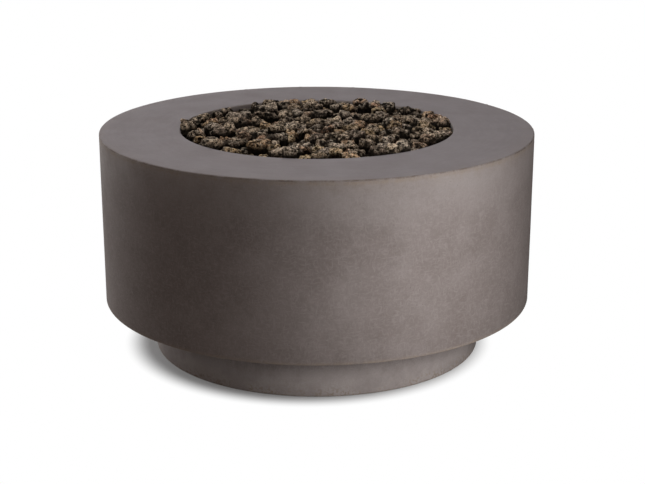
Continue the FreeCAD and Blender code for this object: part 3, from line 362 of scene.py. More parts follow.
# Shared effects
# How many times finer the second clouds and pores are, and the share of the second clouds
FINE_CLOUDS = 5.0
FINE_PORES = 2.3
FINE_CLOUD_SHARE = 0.3
# Scale and reach of the bends in the fibres, their stretch along both ways, and their noise limits
BEND_SCALE = 45.0
BEND_REACH = 0.016
FIBRE_WAYS = ((1.0, 1.0, 0.28), (0.28, 0.28, 1.0))
FIBRE_LIMITS = (0.45, 0.75)


def cloud_group():
    """Soft clouds in two sizes, used for mottling, dust and dulled metal."""
    graph, given, result = effect_group("soft_clouds", ("Size", "Low", "High"), "Mask")
    broad = graph.noise(given["Vector"], given["Size"], detail=3.0, roughness=0.55)
    fine_size = graph.over(given["Size"], FINE_CLOUDS)
    fine = graph.noise(given["Vector"], fine_size, detail=4.0, roughness=0.6)
    mixed = graph.blend(broad, fine, FINE_CLOUD_SHARE)
    graph.give(result, graph.fade(mixed, given["Low"], given["High"]))
    return graph.tree


def grain_group():
    """Fine even grain, used for sand, castings and plated metal."""
    graph, given, result = effect_group("fine_grain", ("Size",), "Grain")
    graph.give(result, graph.noise(given["Vector"], given["Size"], detail=5.0, roughness=0.7))
    return graph.tree


def pore_group():
    """Round pores in two sizes, used for lava rock and cast iron."""
    graph, given, result = effect_group("round_pores", ("Size", "Reach"), "Pores")
    broad = graph.pits(given["Vector"], given["Size"], given["Reach"])
    fine = graph.pits(given["Vector"], graph.over(given["Size"], FINE_PORES), given["Reach"])
    graph.give(result, graph.math("MAXIMUM", broad, fine))
    return graph.tree


def linen_group():
    """Short crossing fibres, used for the weave-like skin of the cast concrete."""
    graph, given, result = effect_group("linen_fibres", ("Size",), "Fibres")
    bends = {"Vector": given["Vector"], "Scale": BEND_SCALE, "Detail": 1.0}
    wander = graph.add("ShaderNodeTexNoise", bends).outputs["Color"]
    bent = graph.vector("ADD", given["Vector"], graph.scaled(wander, BEND_REACH))
    fibres = []
    for way in FIBRE_WAYS:
        drawn = graph.noise(graph.vector("MULTIPLY", bent, way), given["Size"], roughness=0.6)
        fibres.append(graph.fade(drawn, *FIBRE_LIMITS))
    graph.give(result, graph.math("MAXIMUM", *fibres))
    return graph.tree


def edge_group():
    """A band along a level circular edge, used for worn concrete edges."""
    graph, given, result = effect_group("ring_edge", ("Radius", "Height", "Width"), "Band")
    across = graph.minus(graph.length(graph.flat(given["Vector"])), given["Radius"])
    along = graph.minus(graph.height(given["Vector"]), given["Height"])
    away = graph.length(graph.first("ShaderNodeCombineXYZ", {"X": across, "Z": along}))
    graph.give(result, graph.fade(away, given["Width"], 0.0))
    return graph.tree


EFFECTS = {
    "soft_clouds": cloud_group,
    "fine_grain": grain_group,
    "round_pores": pore_group,
    "linen_fibres": linen_group,
    "ring_edge": edge_group,
}


def effect(graph, name, place, **values):
    """Put a shared effect into a material, making it at its first use."""
    tree = bpy.data.node_groups.get(name) or EFFECTS[name]()
    return graph.first("ShaderNodeGroup", {"Vector": place, **values}, node_tree=tree)


# Materials
def rgba(colour, tone=1.0):
    """A colour, lightened or darkened by a tone, for a socket."""
    return (*(channel * tone for channel in colour), 1.0)


def empty_graph(holder):
    """The graph of a material or a world, cleared."""
    holder.use_nodes = True
    holder.node_tree.nodes.clear()
    return Graph(holder.node_tree)


def new_material(name):
    """An empty material with its graph, its shader and its own Object coordinates."""
    material = bpy.data.materials.new(name)
    graph = empty_graph(material)
    shader = graph.add("ShaderNodeBsdfPrincipled")
    graph.add("ShaderNodeOutputMaterial", {"Surface": shader.outputs[0]})
    place = graph.add("ShaderNodeTexCoord").outputs["Object"]
    return material, graph, shader, place


def dress(graph, shader, colour, roughness, relief, depth):
    """Link colour, roughness and a bump of a real depth to a shader."""
    bump = graph.first("ShaderNodeBump", {"Height": relief, "Distance": depth})
    for label, value in (("Base Color", colour), ("Roughness", roughness), ("Normal", bump)):
        graph.give(shader.inputs[label], value)


# Making pieces
def new_object(name, data):
    item = bpy.data.objects.new(name, data)
    bpy.context.scene.collection.objects.link(item)
    return item


def mesh_from(name, surface):
    """A mesh of an edited surface, which is then done with."""
    mesh = bpy.data.meshes.new(name)
    surface.to_mesh(mesh)
    surface.free()
    return mesh


def grown_mesh(name, base, tree, inputs):
    """Run a tree on a base mesh and give the result as a plain object at the origin."""
    item = new_object(name, base)
    modifier = item.modifiers.new("grow", "NODES")
    modifier.node_group = tree
    sockets = [socket for socket in tree.interface.items_tree if socket.in_out == "INPUT"]
    identifiers = {socket.name: socket.identifier for socket in sockets}
    for label, value in inputs.items():
        modifier[identifiers[label]] = value
    bpy.context.view_layer.update()
    evaluated = item.evaluated_get(bpy.context.evaluated_depsgraph_get())
    grown = bpy.data.meshes.new_from_object(evaluated)
    grown.name = name
    item.modifiers.remove(modifier)
    item.data = grown
    if not grown.polygons:
        raise RuntimeError(f"{name} came out empty")
    return item


def settings_of(look, labels):
    """Values of the settings that are named as a tree's inputs are."""
    return {label: getattr(look, label.lower().replace(" ", "_")) for label in labels}


def face_outwards(item):
    surface = bmesh.new()
    surface.from_mesh(item.data)
    bmesh.ops.remove_doubles(surface, verts=surface.verts, dist=DRUM_WELD)
    bmesh.ops.recalc_face_normals(surface, faces=surface.faces)
    surface.to_mesh(item.data)
    surface.free()


def settle(item, body, slot, *replaced):
    """Ride a finished piece on its body, in place of the nodes that it stands for."""
    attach(item, body)
    if replaced:
        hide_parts(*replaced)


def paint(node, material):
    """Give a CAD node its material."""
    for slot in frame["nodes"][node].material_slots:
        slot.material = material


def paint_slots(finishes, maker):
    """Make a material for each material slot and give it to the CAD nodes in that slot."""
    for slot, values in finishes.items():
        material = maker(slot + "_finish", *values)
        for part in frame["record"]["subparts"]:
            if part["material_slot"] == slot:
                paint(part["node"], material)


# Concrete
# Widths of the clouds, and the noise at which they start and are full
CLOUDS = {"Size": 0.30, "Low": 0.38, "High": 0.62}
BLOTCHES = {"Size": 0.07, "Low": 0.40, "High": 0.66}
PATCHES = {"Size": 0.11, "Low": 0.34, "High": 0.60}
WEAR = {"Size": 0.030, "Low": 0.36, "High": 0.60}
# Width and strength of each band along an edge, and how far the tan one lies under the rim
RIM_HAZE = (0.040, 0.35)
RIM_TAN = (0.008, 0.75)
RIM_TAN_DROP = 0.007
# The dark line at the rim's edge is dirt and painted shade
RIM_DIRT_AND_SHADE = (0.0055, 1.0)
DRUM_FOOT_BAND = (0.011, 1.0)
OPENING_BAND = (0.005, 0.30)
PLINTH_TOP_BAND = (0.006, 0.7)
PLINTH_FOOT_BAND = (0.008, 0.8)
# Shares in which the clouds, the painted light, the painted shade under the overhang and other marks cover
# the colour under them
CLOUD_SHARE = 0.55
BLOTCH_SHARE = 0.32
RIM_CLOUD_SHARE = 0.14
LEAST_PAINTED_LIGHT = 0.40
LEAST_WEAR = 0.25
RIM_WEAR = 0.3
OVERHANG_SHADE_SHARE = 0.9
GRAIN_SHARE = 0.20
LINEN_SHARE = 0.45
PINHOLE_SHARE = 0.6
# Tones of the paler streaks on the rim, the painted shade under the overhang and the pinholes
STREAK_TONE = 1.07
OVERHANG_SHADE_TONE = 0.6
PINHOLE_TONE = 0.4
# The streaks are this wide before they are drawn out round the rim and set close across it
STREAK_SIZE = 0.045
STREAK_ROUND = 0.35
STREAK_ACROSS = 5.0
STREAK_LIMITS = (0.35, 0.75)
# Upward parts of the normal between which a side turns into a rim
RIM_FACING = (0.6, 0.9)
# Sizes, limits and shares of the finer marks, then the shader's own values
GRAIN_SIZE = 0.0035
GRAIN_LIMITS = (0.30, 0.72)
SAND_SIZE = 0.0009
SAND_SHARE = 0.4
LINEN_SIZE = 0.0038
PINHOLE_SPACING = 0.020
PINHOLE_REACH = 0.05
SPECK_SIZE = 0.007
SPECK_LIMITS = (0.50, 0.60)
SPECK_PATCHES = (0.35, 0.80)
CONCRETE_ROUGHNESS = (0.70, 0.84)
CONCRETE_RELIEF = 0.0006
CONCRETE_GLOSS = 0.06


def rim_streaks(graph, place):
    """Streaks that run round the axis, as a trowel leaves them."""
    flat = graph.flat(place)
    round_axis = graph.scaled(graph.vector("NORMALIZE", flat), STREAK_ROUND)
    across = graph.upright(graph.times(graph.length(flat), STREAK_ACROSS))
    streaks = graph.noise(graph.vector("ADD", round_axis, across), STREAK_SIZE, detail=4.0, roughness=0.6)
    return graph.fade(streaks, *STREAK_LIMITS)


def wear_edges(graph, place, colour, edges, facing):
    """Lay a patchy band along each edge, weaker on the rim than on the sides.

    Each edge is a radius, a height, a width, a strength and a colour.
    """
    patchy = effect(graph, "soft_clouds", place, **WEAR)
    for radius, height, width, strength, stain in edges:
        band = effect(graph, "ring_edge", place, Radius=radius, Height=height, Width=width)
        worn = graph.times(band, graph.between(patchy, LEAST_WEAR * strength, strength))
        worn = graph.times(worn, graph.between(facing, 1.0, RIM_WEAR))
        colour = graph.mix(worn, colour, rgba(stain))
    return colour


def mark_foot(graph, place, colour, look, patches):
    """Paint shade on the plinth under the drum's overhang and scatter tan specks along its foot."""
    level = graph.height(place)
    # Painted shade under the drum's overhang, darkest at the plinth's top
    overhang_shade = graph.fade(level, PLINTH_TOP - look.damp_depth, PLINTH_TOP)
    colour = graph.mix(graph.times(overhang_shade, OVERHANG_SHADE_SHARE), colour, rgba(look.stain, OVERHANG_SHADE_TONE))
    specks = graph.fade(graph.noise(place, SPECK_SIZE, roughness=0.6), *SPECK_LIMITS)
    low = graph.times(graph.fade(level, look.speck_height, 0.0), graph.fade(patches, *SPECK_PATCHES))
    return graph.mix(graph.times(specks, low), colour, rgba(look.edge))


def concrete_material(name, look, edges, pale, painted_light_heights, on_floor=False):
    """Cast concrete: sides that clouds make uneven and painted light makes paler, a brushed rim, worn edges
    and pinholes.

    The painted light grows in patches from the first to the second height. Concrete on the floor has a
    marked foot and painted shade under the drum.
    """
    material, graph, shader, place = new_material(name)
    clouds, blotches, patches = (
        effect(graph, "soft_clouds", place, **limits) for limits in (CLOUDS, BLOTCHES, PATCHES))
    grain, sand = (effect(graph, "fine_grain", place, Size=size) for size in (GRAIN_SIZE, SAND_SIZE))
    linen = effect(graph, "linen_fibres", place, Size=LINEN_SIZE)
    pinholes = graph.fade(graph.cells(place, PINHOLE_SPACING)["Distance"], PINHOLE_REACH, PINHOLE_REACH / 2)
    normal = graph.add("ShaderNodeNewGeometry").outputs["Normal"]
    facing = graph.fade(graph.height(normal), *RIM_FACING)

    side = graph.mix(graph.between(clouds, 0.0, CLOUD_SHARE), rgba(look.side), rgba(look.stain))
    side = graph.mix(graph.between(blotches, 0.0, BLOTCH_SHARE), side, rgba(look.bloom))
    # Painted light: paler, in patches, from the first to the second height
    bloom = graph.fade(graph.height(place), *painted_light_heights)
    side = graph.mix(graph.times(bloom, graph.between(patches, LEAST_PAINTED_LIGHT, 1.0)), side, rgba(pale))
    top = graph.mix(rim_streaks(graph, place), rgba(look.top), rgba(look.top, STREAK_TONE))
    top = graph.mix(graph.between(clouds, 0.0, RIM_CLOUD_SHARE), top, rgba(look.stain))

    colour = graph.mix(facing, side, top)
    colour = wear_edges(graph, place, colour, edges, facing)
    if on_floor:
        colour = mark_foot(graph, place, colour, look, patches)
    grainy = graph.mix(GRAIN_SHARE, colour, rgba(look.stain))
    colour = graph.mix(graph.fade(grain, *GRAIN_LIMITS), grainy, colour)
    woven = graph.times(linen, graph.minus(1.0, facing))
    colour = graph.mix(graph.times(woven, LINEN_SHARE), colour, rgba(look.bloom))
    colour = graph.mix(graph.times(pinholes, PINHOLE_SHARE), colour, rgba(look.stain, PINHOLE_TONE))

    relief = graph.minus(graph.blend(grain, sand, SAND_SHARE), pinholes)
    dress(graph, shader, colour, graph.between(blotches, *CONCRETE_ROUGHNESS), relief, CONCRETE_RELIEF)
    shader.inputs["Specular IOR Level"].default_value = CONCRETE_GLOSS
    return material


# Points in a rounded corner, widths of the waves and chips, and the noise limits of a chip
ARC_POINTS = 7
WAVE_SIZE = 0.22
CHIP_SIZE = 0.016
CHIP_LIMITS = (0.60, 0.78)


def rounded_outline(corners, facet):
    """Points of a closed outline of right-angled corners, with straights cut into facets.

    Each corner is a radius, a height, a rounding and 1 where it chips. Each point is a radius, a height and
    1 where it chips.
    """
    arcs = []
    for index, (radius, height, rounding, chips) in enumerate(corners):
        corner = np.array((radius, height))
        if rounding == 0:
            arcs.append([corner])
            continue
        arms = [np.array(corners[other][:2]) - corner for other in (index - 1, (index + 1) % len(corners))]
        back, ahead = (arm / np.linalg.norm(arm) for arm in arms)
        middle = corner + (back + ahead) * rounding
        turns = np.linspace(0, math.pi / 2, ARC_POINTS)
        arcs.append([middle - rounding * (ahead * math.cos(turn) + back * math.sin(turn)) for turn in turns])
    points = []
    for index, arc in enumerate(arcs):
        points += [(*point, corners[index][3]) for point in arc]
        start = arc[-1]
        end = arcs[(index + 1) % len(arcs)][0]
        steps = max(1, round(float(np.linalg.norm(end - start)) / facet))
        points += [(*(start + (end - start) * step / steps), 0.0) for step in range(1, steps)]
    return points


def casting_tree():
    """Turns an outline about +Z, then gives its faces slow waves and its edges small chips."""
    graph, given, result = mesh_group(
        "turned_casting", "Outline", ("Segments",), ("Path radius", "Unevenness", "Chip depth"), "Casting")
    outline = graph.first("GeometryNodeMeshToCurve", {"Mesh": given["Outline"]})
    circle = {"Resolution": given["Segments"], "Radius": given["Path radius"]}
    path = graph.first("GeometryNodeCurvePrimitiveCircle", circle)
    turned = graph.first("GeometryNodeCurveToMesh", {"Curve": path, "Profile Curve": outline})
    place = graph.place()
    waves = graph.between(graph.noise(place, WAVE_SIZE, detail=1.0), -1.0, 1.0)
    chips = graph.fade(graph.noise(place, CHIP_SIZE, detail=3.0, roughness=0.7), *CHIP_LIMITS)
    chips = graph.times(graph.mark("arris"), chips)
    rise = graph.minus(graph.times(waves, given["Unevenness"]), graph.times(chips, given["Chip depth"]))
    graph.finish(graph.swollen(turned, rise), given["Material"], result)
    return graph.tree


class CastDrum(bpy.types.Operator):
    """Cast the drum with its flat rim, worn edges, clouded sides and painted light on the sides under the
    rim
    """

    bl_idname = "firebowl.cast_drum"
    bl_label = "Cast the drum"

    def execute(self, context):
        look = context.scene.bowl_concrete
        points = rounded_outline([
            (DRUM_RADIUS, DRUM_FOOT, look.arris, 1.0),
            (DRUM_RADIUS, RIM_TOP, look.arris, 1.0),
            (OPENING_RADIUS, RIM_TOP, look.arris, 1.0),
            (OPENING_RADIUS, RIM_UNDER, 0, 0.0),
            (DRUM_BORE, RIM_UNDER, look.haunch, 0.0),
            (DRUM_BORE, DRUM_FOOT, 0, 0.0),
        ], look.facet)
        path_radius = (DRUM_RADIUS + OPENING_RADIUS) / 2
        count = len(points)
        base = bpy.data.meshes.new("drum_outline")
        base.from_pydata([(radius - path_radius, -height, 0) for radius, height, chips in points],
                         [(index, (index + 1) % count) for index in range(count)], [])
        arris = base.attributes.new("arris", "FLOAT", "POINT")
        arris.data.foreach_set("value", [point[2] for point in points])
        edges = [
            (DRUM_RADIUS, RIM_TOP, *RIM_HAZE, look.edge),
            (DRUM_RADIUS, RIM_TOP - RIM_TAN_DROP, *RIM_TAN, look.edge),
            # Dark line at the rim's edge: dirt and painted shade
            (DRUM_RADIUS, RIM_TOP, *RIM_DIRT_AND_SHADE, look.dirt),
            (DRUM_RADIUS, DRUM_FOOT, *DRUM_FOOT_BAND, look.edge),
            (OPENING_RADIUS, RIM_TOP, *OPENING_BAND, look.edge),
        ]
        # Painted light on the upper sides, palest at the rim
        painted_light_heights = (RIM_TOP - look.bloom_depth, RIM_TOP)
        drum = grown_mesh("drum", base, casting_tree(), {
            "Path radius": path_radius,
            **settings_of(look, ("Segments", "Unevenness", "Chip depth")),
            "Material": concrete_material("drum_concrete", look, edges, look.bloom, painted_light_heights),
        })
        face_outwards(drum)
        settle(drum, "bowl", "concrete", "drum_shell")
        return {"FINISHED"}


class FinishPlinth(bpy.types.Operator):
    """Finish the plinth with concrete that is worn along its foot, painted paler towards the floor as light
    off it, and painted darker under the drum as its shade
    """

    bl_idname = "firebowl.finish_plinth"
    bl_label = "Finish the plinth"

    def execute(self, context):
        look = context.scene.bowl_concrete
        edges = [
            (PLINTH_RADIUS, PLINTH_TOP, *PLINTH_TOP_BAND, look.edge),
            (PLINTH_RADIUS, 0.0, *PLINTH_FOOT_BAND, look.edge),
        ]
        # Painted light off the floor: paler from the plinth's top down to this height, fully pale below it
        painted_light_heights = (PLINTH_TOP, look.foot_bloom)
        material = concrete_material("plinth_concrete", look, edges, look.foot, painted_light_heights, on_floor=True)
        paint("plinth_ring", material)
        return {"FINISHED"}


# Metal, plastic and rubber
METAL_CLOUDS = {"Size": 0.05, "Low": 0.35, "High": 0.7}
METAL_GRAIN_LIMITS = (0.35, 0.7)
METAL_GRAIN_SHARE = 0.25
METAL_DULLING = 0.18
METAL_RELIEF = 0.0002
CASTING_PORE_REACH = 0.6
DULL_CLOUDS = {"Size": 0.03, "Low": 0.3, "High": 0.7}
DULL_SPREAD = 0.15
DULL_RELIEF = 0.0003
# Clean and dull colour, least roughness, size of the grain and, on castings, of the pores
METALS = {
    "galvanised_steel": ((0.50, 0.51, 0.52), (0.34, 0.35, 0.37), 0.42, 0.008),
    "zinc_fasteners": ((0.62, 0.61, 0.58), (0.46, 0.44, 0.40), 0.30, 0.003),
    "stainless_steel": ((0.44, 0.43, 0.42), (0.32, 0.31, 0.30), 0.30, 0.0015),
    "black_iron": ((0.050, 0.050, 0.052), (0.085, 0.075, 0.068), 0.50, 0.003, 0.006),
    "brass": ((0.62, 0.43, 0.17), (0.42, 0.29, 0.12), 0.26, 0.002),
    "ball_chrome": ((0.78, 0.78, 0.79), (0.66, 0.66, 0.68), 0.08, 0.004),
    "key_chrome": ((0.72, 0.72, 0.72), (0.56, 0.56, 0.57), 0.18, 0.002),
    "foot_steel": ((0.52, 0.52, 0.51), (0.36, 0.35, 0.33), 0.34, 0.003),
}
# Two colours that cloud into each other, least roughness and size of the grain
SEALS = {
    "seat_plastic": ((0.82, 0.82, 0.79), (0.74, 0.73, 0.70), 0.45, 0.003),
    "seal_rubber": ((0.020, 0.020, 0.021), (0.035, 0.034, 0.033), 0.62, 0.001),
    "gasket_fibre": ((0.62, 0.58, 0.50), (0.44, 0.41, 0.36), 0.80, 0.0012),
}
# The buried fill under the stones is painted near black, as painted shade in the gaps
BURIED_LAVA_SHADE = ((0.010, 0.008, 0.007), (0.006, 0.005, 0.004), 0.85, 0.004)


def metal_material(name, colour, dull, roughness, grain_size, pore_size=0.0):
    """Bare or plated metal with dull clouds, fine grain and, on castings, pores."""
    material, graph, shader, place = new_material(name)
    clouds = effect(graph, "soft_clouds", place, **METAL_CLOUDS)
    grain = effect(graph, "fine_grain", place, Size=grain_size)
    tone = graph.mix(clouds, rgba(colour), rgba(dull))
    grainy = graph.mix(METAL_GRAIN_SHARE, tone, rgba(dull))
    tone = graph.mix(graph.fade(grain, *METAL_GRAIN_LIMITS), grainy, tone)
    relief = grain
    if pore_size:
        holes = effect(graph, "round_pores", place, Size=pore_size, Reach=CASTING_PORE_REACH)
        relief = graph.minus(grain, holes)
    dulled = graph.between(clouds, roughness, roughness + METAL_DULLING)
    dress(graph, shader, tone, dulled, relief, METAL_RELIEF)
    shader.inputs["Metallic"].default_value = 1.0
    return material


def dull_material(name, colour, shade, roughness, grain_size):
    """Plastic, rubber, fibre or buried rock with a faint cloud and a fine grain; the buried rock is painted
    near black as shade.
    """
    material, graph, shader, place = new_material(name)
    clouds = effect(graph, "soft_clouds", place, **DULL_CLOUDS)
    grain = effect(graph, "fine_grain", place, Size=grain_size)
    tone = graph.mix(clouds, rgba(colour), rgba(shade))
    dress(graph, shader, tone, graph.between(grain, roughness, roughness + DULL_SPREAD), grain, DULL_RELIEF)
    return material


class FinishMetalwork(bpy.types.Operator):
    """Finish the steel, iron, brass and chrome of the frame, burner, valve, key and feet"""

    bl_idname = "firebowl.finish_metalwork"
    bl_label = "Finish the metalwork"

    def execute(self, context):
        paint_slots(METALS, metal_material)
        return {"FINISHED"}


class FinishSeals(bpy.types.Operator):
    """Finish the plastic seats and plugs, the rubber seal and the fibre gasket"""

    bl_idname = "firebowl.finish_seals"
    bl_label = "Finish the seals"

    def execute(self, context):
        paint_slots(SEALS, dull_material)
        return {"FINISHED"}


# Lava rock
STONE_TINTS = (
    (0.190, 0.150, 0.118),
    (0.510, 0.388, 0.280),
    (0.780, 0.600, 0.420),
    (0.730, 0.612, 0.490),
    (0.330, 0.248, 0.188),
    (0.870, 0.630, 0.350),
    (0.620, 0.352, 0.215),
    (0.850, 0.682, 0.500),
)
STONE_CLOUDS = {"Size": 0.016, "Low": 0.36, "High": 0.68}
STONE_PORES = {"Size": 0.0068, "Reach": 0.42}
STONE_GRAIN = 0.0036
RIDGE_SIZE = 0.0060
# Where grain, ridges, the painted shade in the hollows and the painted shade on a stone's lower side turn
# from dark to clear
STONE_GRAIN_LIMITS = (0.43, 0.53)
RIDGE_LIMITS = (0.50, 0.66)
HOLLOW_SHADE_LIMITS = (-0.40, 0.35)
CROWN_LIMITS = (0.00, 0.78)
# Shares in which dust, the painted highlights, the soot and painted shade, and the painted shade in pores
# cover the tint
DUST_SHARE = 0.225
HIGHLIGHT_SHARE = 0.80
RIDGE_SHARE = 0.90
SOOT_AND_SHADE_SHARE = 0.985
GRAIN_SOOT_SHARE = 0.92
PORE_SHADE_SHARE = 0.95
GRAIN_RELIEF_SHARE = 0.7
STONE_ROUGHNESS = (0.80, 0.98)
STONE_RELIEF = 0.0025
STONE_GLOSS = 0.02
# Distance from the middle of a knob at which it neither rises nor sinks, as a share of the spacing
KNOB_MIDDLE = 0.5
# Weight of the knobs in the painted shade of the hollows, step to the seed of the tints, and angle under
# which facets are one
KNOB_HOLLOW_SHADE = 1.2
TINT_SEED_STEP = 100.0
FLAT_ANGLE = math.radians(2)
# Sizes and shares that shape a stone
STONE_SHAPE = (
    "Crease", "Lump", "Lump size", "Knob", "Knob size", "Pore", "Pore size", "Pore reach",
    "Lift", "Heap", "Roundness",
)


def tint_ramp(graph, tint):
    """The colour of a stone whose tint is drawn between 0 and 1."""
    node = graph.add("ShaderNodeValToRGB", {"Fac": tint})
    stops = node.color_ramp.elements
    while len(stops) < len(STONE_TINTS):
        stops.new(0.5)
    for index, colour in enumerate(STONE_TINTS):
        stops[index].position = index / (len(STONE_TINTS) - 1)
        stops[index].color = rgba(colour)
    return node.outputs[0]


def lava_material(name, look):
    """Porous lava: each stone has its own tint, pale spots painted as highlights, and painted shade in its
    pores, in its hollows, on its lower sides and low in the bed.
    """
    material, graph, shader, place = new_material(name)
    tint, pore, wear, crown = (
        graph.add("ShaderNodeAttribute", attribute_name=mark).outputs["Fac"]
        for mark in ("tint", "pore", "wear", "crown"))
    clouds = effect(graph, "soft_clouds", place, **STONE_CLOUDS)
    grain = effect(graph, "fine_grain", place, Size=STONE_GRAIN)
    holes = effect(graph, "round_pores", place, **STONE_PORES)
    # Pale spots painted as highlights
    ridges = graph.fade(graph.noise(place, RIDGE_SIZE, roughness=0.6), *RIDGE_LIMITS)

    own = tint_ramp(graph, tint)
    colour = graph.mix(graph.between(clouds, 0.0, DUST_SHARE), own, rgba(look.dust))
    scraped = graph.mix(HIGHLIGHT_SHARE, own, rgba(look.scraped))
    colour = graph.mix(graph.times(ridges, RIDGE_SHARE), colour, scraped)
    # Near black for the grain's soot and for the painted shade
    sooty_and_shaded = graph.mix(SOOT_AND_SHADE_SHARE, colour, rgba(look.soot))
    grainy = graph.mix(GRAIN_SOOT_SHARE, colour, sooty_and_shaded)
    colour = graph.mix(graph.fade(grain, *STONE_GRAIN_LIMITS), grainy, colour)
    # Painted shade in the hollows between knobs and swells
    colour = graph.mix(graph.fade(wear, *HOLLOW_SHADE_LIMITS), sooty_and_shaded, colour)
    # Painted shade on the lower side of each stone, lighter on its upper side
    colour = graph.mix(graph.fade(crown, *CROWN_LIMITS), sooty_and_shaded, colour)
    # Painted shade low in the bed, clearing with height
    clear = graph.fade(graph.height(place), BED_TOP + look.shade_from, BED_TOP + look.shade_to)
    colour = graph.mix(clear, sooty_and_shaded, colour)
    # Painted shade in the pores
    dark = graph.times(graph.math("MAXIMUM", pore, holes), PORE_SHADE_SHARE)
    colour = graph.mix(dark, colour, rgba(look.hole))

    relief = graph.minus(graph.times(grain, GRAIN_RELIEF_SHARE), holes)
    dress(graph, shader, colour, graph.between(grain, *STONE_ROUGHNESS), relief, STONE_RELIEF)
    shader.inputs["Specular IOR Level"].default_value = STONE_GLOSS
    return material


def lava_tree():
    """Rounds and lifts faceted stones, then gives them swells, knobs, gas pores and their tints."""
    graph, given, result = mesh_group("lava_stones", "Stones", ("Smoothing", "Seed"), STONE_SHAPE, "Lava")
    stones = graph.first("GeometryNodeSubdivisionSurface", {
        "Mesh": given["Stones"], "Level": given["Smoothing"], "Edge Crease": given["Crease"]})
    place = graph.place()

    spoke = graph.vector("SUBTRACT", place, graph.island_mean(place, "FLOAT_VECTOR"))
    reach = graph.length(spoke)
    # How far each point faces up from its stone's middle, for the painted shade on the lower sides
    stones = graph.marked(stones, "crown", graph.over(graph.height(spoke), reach))
    evenness = graph.over(graph.island_mean(reach), reach)
    pull = graph.times(graph.minus(evenness, 1.0), given["Roundness"])
    chance = graph.island_draw(given["Seed"], -1.0, 1.0)
    lift = graph.upright(graph.plus(graph.times(chance, given["Lift"]), given["Heap"]))
    stones = graph.moved(stones, graph.vector("ADD", lift, graph.scaled(spoke, pull)))

    swells = graph.between(graph.noise(place, given["Lump size"], detail=3.0, roughness=0.6), -1.0, 1.0)
    knobs = graph.minus(KNOB_MIDDLE, graph.cells(place, given["Knob size"])["Distance"])
    # Knobs and swells, marked for the painted shade in the hollows
    stones = graph.marked(stones, "wear", graph.plus(graph.times(knobs, KNOB_HOLLOW_SHADE), swells))
    rise = graph.plus(graph.times(swells, given["Lump"]), graph.times(knobs, given["Knob"]))
    stones = graph.swollen(stones, rise)

    stones = graph.marked(stones, "pore", graph.pits(place, given["Pore size"], given["Pore reach"]))
    stones = graph.swollen(stones, graph.times(graph.mark("pore"), graph.times(given["Pore"], -1.0)))
    tint = graph.island_draw(graph.plus(given["Seed"], TINT_SEED_STEP))
    graph.finish(graph.marked(stones, "tint", tint), given["Material"], result)
    return graph.tree


def faceted_stones():
    """The packed stones as one clean mesh of flat facets."""
    surface = bmesh.new()
    surface.from_mesh(frame["nodes"]["lava_rocks"].data)
    bmesh.ops.remove_doubles(surface, verts=surface.verts, dist=STONE_WELD)
    bmesh.ops.dissolve_limit(surface, angle_limit=FLAT_ANGLE, verts=surface.verts, edges=surface.edges)
    return surface


def stone_islands(surface):
    """Lists of the faces of each separate stone."""
    left = set(surface.faces)
    islands = []
    for start in surface.faces:
        if start not in left:
            continue
        left.discard(start)
        island = [start]
        for face in island:
            for edge in face.edges:
                for other in edge.link_faces:
                    if other in left:
                        left.discard(other)
                        island.append(other)
        islands.append(island)
    return islands


def share_out(islands, count):
    """Stones sorted round the bowl and shared out to a number of meshes."""
    def turn_of(island):
        middle = island[0].calc_center_median()
        return math.atan2(middle.y, middle.x)

    ordered = sorted(islands, key=turn_of)
    size = math.ceil(len(ordered) / count)
    return [ordered[start:start + size] for start in range(0, len(ordered), size)]


def stone_mesh(name, islands):
    """One mesh of several stones."""
    corners = []
    faces = []
    for island in islands:
        numbers = {}
        for face in island:
            for corner in face.verts:
                if corner not in numbers:
                    numbers[corner] = len(corners)
                    corners.append(corner.co.copy())
            faces.append([numbers[corner] for corner in face.verts])
    mesh = bpy.data.meshes.new(name)
    mesh.from_pydata(corners, [], faces)
    return mesh


class LayStones(bpy.types.Operator):
    """Lay the top layer of lava stones, porous and each of its own tint"""

    bl_idname = "firebowl.lay_stones"
    bl_label = "Lay the lava stones"

    def execute(self, context):
        look = context.scene.bowl_lava
        surface = faceted_stones()
        tree = lava_tree()
        material = lava_material("lava_stone", look)
        for index, group in enumerate(share_out(stone_islands(surface), look.pieces), 1):
            name = f"lava_stones_{index}"
            stones = grown_mesh(name, stone_mesh(name, group), tree, {
                **settings_of(look, ("Smoothing", *STONE_SHAPE)),
                "Seed": look.seed + index,
                "Material": material,
            })
            settle(stones, "bowl", "lava_rock", "lava_rocks")
        surface.free()
        return {"FINISHED"}


# Most bits for each square metre, largest turn about each axis in radians, and least and largest scale
RUBBLE_DENSITY = 12000.0
RUBBLE_TURN = (6.28, 6.28, 6.28)
RUBBLE_LEAST = (0.45, 0.45, 0.35)
RUBBLE_MOST = (1.0, 0.9, 0.7)
DENT_SIZE = 0.012
DENT_DEPTH = 0.006
BED_SIDES = 64


